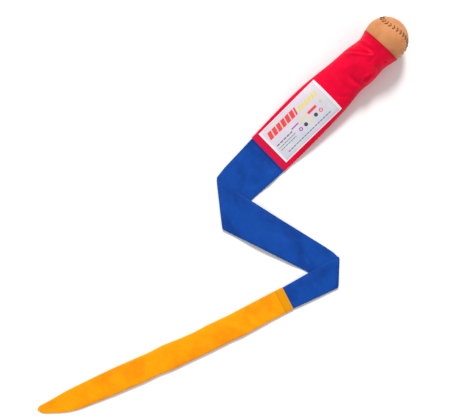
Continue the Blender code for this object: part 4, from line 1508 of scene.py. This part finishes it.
# ---- Yellow sleeve -----------------------------------------------------------------------------
@dataclass
class YellowSleeve:
    """The yellow sleeve: a cuff over the blue end, a long gently curved run and a rounded, sewn tip."""
    layout: Layout
    needlework: Needlework
    width: float = 0.0405
    cuff_height: float = 4.6 * MM
    height: float = 7.0 * MM
    length: float = 0.4470
    cuff: float = 0.0240
    lap: float = 0.013
    lap_lift: float = 0.8 * MM
    bend: float = 0.0340
    curve_start: float = 0.120
    curve_length: float = 0.060
    curve_turn: float = math.radians(-3.2)
    taper_start: float = 0.300
    tip_curve: float = 0.0620
    tip_shoulder: float = 0.0170
    tip_width: float = 0.0075
    tip_droop: float = 3.6 * MM
    tip_height: float = 2.2 * MM
    tip_slant: float = 6.0 * MM
    seam_start: float = 0.057              # where the side seam's thread can be seen
    seam_length: float = 0.328
    cut_area: float = 0.0345
    wall: float = 0.35 * MM
    columns: int = 112
    rows: int = 300
    # how far each edge strays outwards, by distance along
    plain_kinks: tuple = ((0.050, 0.0), (0.100, -0.0004), (0.138, 0.0010), (0.165, -0.0003), (0.195, 0.0001),
                          (0.220, 0.0013), (0.248, -0.0002), (0.300, 0.0003), (0.380, 0.0))
    sewn_kinks: tuple = ((0.050, 0.0), (0.094, 0.0011), (0.118, -0.0004), (0.180, 0.0), (0.221, 0.0012),
                         (0.246, -0.0003), (0.274, 0.0009), (0.300, 0.0), (0.380, 0.0))
    puckers: tuple = (
        Wrinkle(((58, 20), (64, 4), (66, -10)), 5.0, -1.1), Wrinkle(((78, 16), (84, 2)), 6.0, -1.0),
        Wrinkle(((70, 18), (73, 2), (76, -12)), 4.0, 0.7), Wrinkle(((92, 8), (110, -2)), 6.0, 0.6),
        Wrinkle(((138, 10), (150, 2), (172, -4)), 8.0, -0.9), Wrinkle(((166, 14), (172, -2)), 5.0, 0.6),
        Wrinkle(((186, 20), (192, 6)), 5.0, -0.8), Wrinkle(((210, -8), (226, 2)), 8.0, -0.8),
        Wrinkle(((244, 20), (252, 8)), 6.0, -0.8), Wrinkle(((270, 19), (276, 8)), 4.0, -0.6),
        Wrinkle(((300, -2), (330, 6)), 9.0, 0.7), Wrinkle(((352, 6), (372, -4)), 8.0, -0.6),
        Wrinkle(((13, -19), (13, 19)), 1.3, -0.55),
    )

    def ground(self, along: float, across: float) -> Vector:
        """Ground position: straight, then a gentle curve, then straight again."""
        lay = self.layout.yellow
        curve = clamp(along - self.curve_start, 0.0, self.curve_length)
        turn = lay.side * self.curve_turn * curve / self.curve_length
        place = lay.point(min(along, self.curve_start), 0)
        if curve > 0:
            radius = self.curve_length / self.curve_turn * lay.side
            place = lay.point(self.curve_start + radius * math.sin(turn),
                              lay.side * radius * (1 - math.cos(turn)))
        local = Stretch(place, lay.heading + turn, lay.side)
        return local.point(max(along - self.curve_start - self.curve_length, 0.0), across)

    def edges(self, along: float) -> tuple[float, float]:
        """Distance from the centreline to the plain edge and to the sewn edge."""
        plain = mix(self.width / 2, self.tip_shoulder, ease(along, self.taper_start, self.length))
        plain -= self.tip_droop * ease(along, self.length - 60 * MM, self.length)
        share = clamp((along - self.length + self.tip_curve) / self.tip_curve)
        drop = (2 * self.tip_shoulder - self.tip_width - self.tip_droop) * (1 - math.sqrt(1 - share * share))
        kinks = [float(np.interp(along, *zip(*stations))) for stations in (self.plain_kinks, self.sewn_kinks)]
        return plain + kinks[0], plain - drop + kinks[1]

    def point(self, along: float, share: float, side: float = 1.0, lift: float = 0.0) -> Vector:
        """A point on the sleeve.

        Args:
            along: distance from its start.
            share: share across, 1 at the sewn edge.
            side: 1 on top, -1 underneath.
            lift: height off the cloth.

        Returns:
            The point in the row frame.
        """
        plain, sewn = self.edges(along)
        across = (sewn - plain) / 2 + share * (plain + sewn) / 2
        base = self.lap_lift * (1 - ease(along, self.lap + 8 * MM, self.cuff + 40 * MM))
        shut = ease(along, self.length, self.length - 5 * MM)
        body = mix(self.cuff_height, self.height, ease(along, self.cuff, 2.5 * self.cuff))
        thickness = mix(body, self.tip_height, ease(along, self.taper_start, self.length))
        thickness *= mix(0.25, 1.0, shut)
        if along >= self.length - 1e-6:
            thickness = 0.0
        level = (1 - min(abs(share), 1.0) ** 5) ** 0.25
        calm = (1 - abs(share) ** 6) * ease(along, 0.0, 20 * MM) * shut
        relief = calm * (0.55 * MM * rumple(along, across, 6.3, 26 * MM)
                         + 0.22 * MM * rumple(along, across, 2.1, 9 * MM))
        relief += (1 - abs(share) ** 8) * shut * sum(pucker.at(along, across) for pucker in self.puckers)
        if side < 0:
            relief = 0.0
        bottom = base + (self.tip_height / 2 - thickness / 2) * (1 - shut) * 0.6
        height = bottom + thickness / 2 * (1 + side * level) + relief + lift
        slant = self.tip_slant * (share + 1) / 2 * ease(along, self.length - 20 * MM, self.length)
        return Vector((*self.ground(along + slant, across), max(height, 0.02 * MM)))

    def build(self) -> None:
        """Make the sleeve and its stitches."""

        def place(turn: float, along: float) -> Vector:
            """A point of the tube from its shares round and along."""
            share, side = fold_round(turn)
            return self.point(self.length * along, share, side)

        thing = cloth("yellow_nylon_sleeve", self.columns, self.rows, place, (2 * self.width, self.length),
                      fold_cut, lambda x: math.sin(math.pi / 2 * x ** 0.9))
        thicken(thing, self.wall)
        # the first band is the cuff's doubled cloth; the thin dark line from 13.2 to 14.2 mm is painted shade
        # along the joint's stitches
        dark_bands = (DarkBand(-1 * MM, 13.4 * MM, 0.9, "DE9200"), DarkBand(13.2 * MM, 14.2 * MM, 0.7, "B87400"))
        finish = NylonFinish("yellow_coated_nylon_taffeta", "FF9F00", "EE8200", "FFB008", dark_bands, 0.6, 0.9)
        shade(thing, finish.build())
        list(self.ground(self.bend - 10 * MM, 0))
        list(self.ground(self.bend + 10 * MM, 0))
        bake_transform(thing)
        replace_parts(thing, "yellow_cuff", "yellow_bend", "yellow_sleeve")
        self.stitches()
        LOG.info("yellow sleeve: %.0f mm long", self.length / MM)

    def stitches(self) -> None:
        """The joint's ring of stitches, the side seam and the bar that closes the tip."""
        thread = ThreadFinish("yellow_polyester_thread", "D98A00", "9C5C00").build()
        ring = []
        for i in range(120):
            share, side = fold_round(i / 120)
            ring.append(self.point(self.lap, share, side, side * 0.12 * MM))
        sew = self.needlework.sew
        sew("blue_yellow_joint_stitches", ring, upward, Stitch.JOINT, thread, "lower_tail",
            "blue_yellow_joint_thread", True)
        edge = [self.point(self.seam_start + self.seam_length * i / 90, 0.999) for i in range(91)]
        sew("yellow_side_stitches", edge, upward, Stitch.SIDE, thread, "tail_end", "yellow_side_thread")
        bar = [self.point(self.length - 4 * MM, mix(-0.8, 0.8, i / 12), 1.0, 0.1 * MM) for i in range(13)]
        sew("tip_stitches", bar, upward, Stitch.TIP, thread, "tail_end", "tip_thread")


# ---- Studio ------------------------------------------------------------------------------------
@dataclass
class Studio:
    """A white board, a broad soft light from beyond the ball's end, and a camera straight above."""
    camera_place: tuple[float, float, float] = (0.0132, 0.0134, 2.0)
    lens: float = 94.7
    sun_height: float = math.radians(46)
    sun_turn: float = math.radians(1)      # from +Y towards +X
    sun_strength: float = 2.4
    sky_strength: float = 0.60

    def build(self) -> None:
        """Make the floor, the lights and the camera."""
        deselect()
        bpy.ops.mesh.primitive_plane_add(size=6.0, location=(0, 0, -0.0002))
        floor = bpy.context.object
        floor.name = "white_floor"
        floor.data.materials.append(FloorFinish().build())
        bpy.ops.object.light_add(type="SUN", location=(0, 1, 1))
        sun = bpy.context.object
        sun.data.energy = self.sun_strength
        sun.data.angle = math.radians(13)
        across = math.cos(self.sun_height)
        toward = Vector((across * math.sin(self.sun_turn), across * math.cos(self.sun_turn),
                         math.sin(self.sun_height)))
        sun.rotation_euler = toward.to_track_quat("Z", "Y").to_euler()
        world = bpy.data.worlds.new("studio_air")
        world.use_nodes = True
        world.node_tree.nodes["Background"].inputs["Color"].default_value = linear("FFFFFF")
        world.node_tree.nodes["Background"].inputs["Strength"].default_value = self.sky_strength
        bpy.context.scene.world = world
        bpy.ops.object.camera_add(location=self.camera_place, rotation=(0, 0, 0))
        camera = bpy.context.object
        camera.data.lens = self.lens
        camera.data.sensor_width = 36.0
        camera.data.clip_start, camera.data.clip_end = 0.05, 20.0
        bpy.context.scene.camera = camera
        bpy.context.scene.view_settings.view_transform = "Standard"
        LOG.info("studio ready")


def main() -> None:
    """Build the toy from the ball to the tip, and then the studio round it."""
    logging.basicConfig(level=logging.INFO, format="%(name)s: %(message)s")
    low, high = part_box("ball_core")
    layout = Layout((low + high) / 2, 0.0365)
    LOG.info("ball centre %s", tuple(round(x, 4) for x in layout.ball_centre))
    needlework = Needlework()
    StitchedBall(layout, needlework).build()
    RedSleeve(layout, needlework).build()
    BlueSleeve(layout, needlework).build()
    YellowSleeve(layout, needlework).build()
    needlework.put_away()
    Studio().build()


if __name__ == "__main__":
    main()
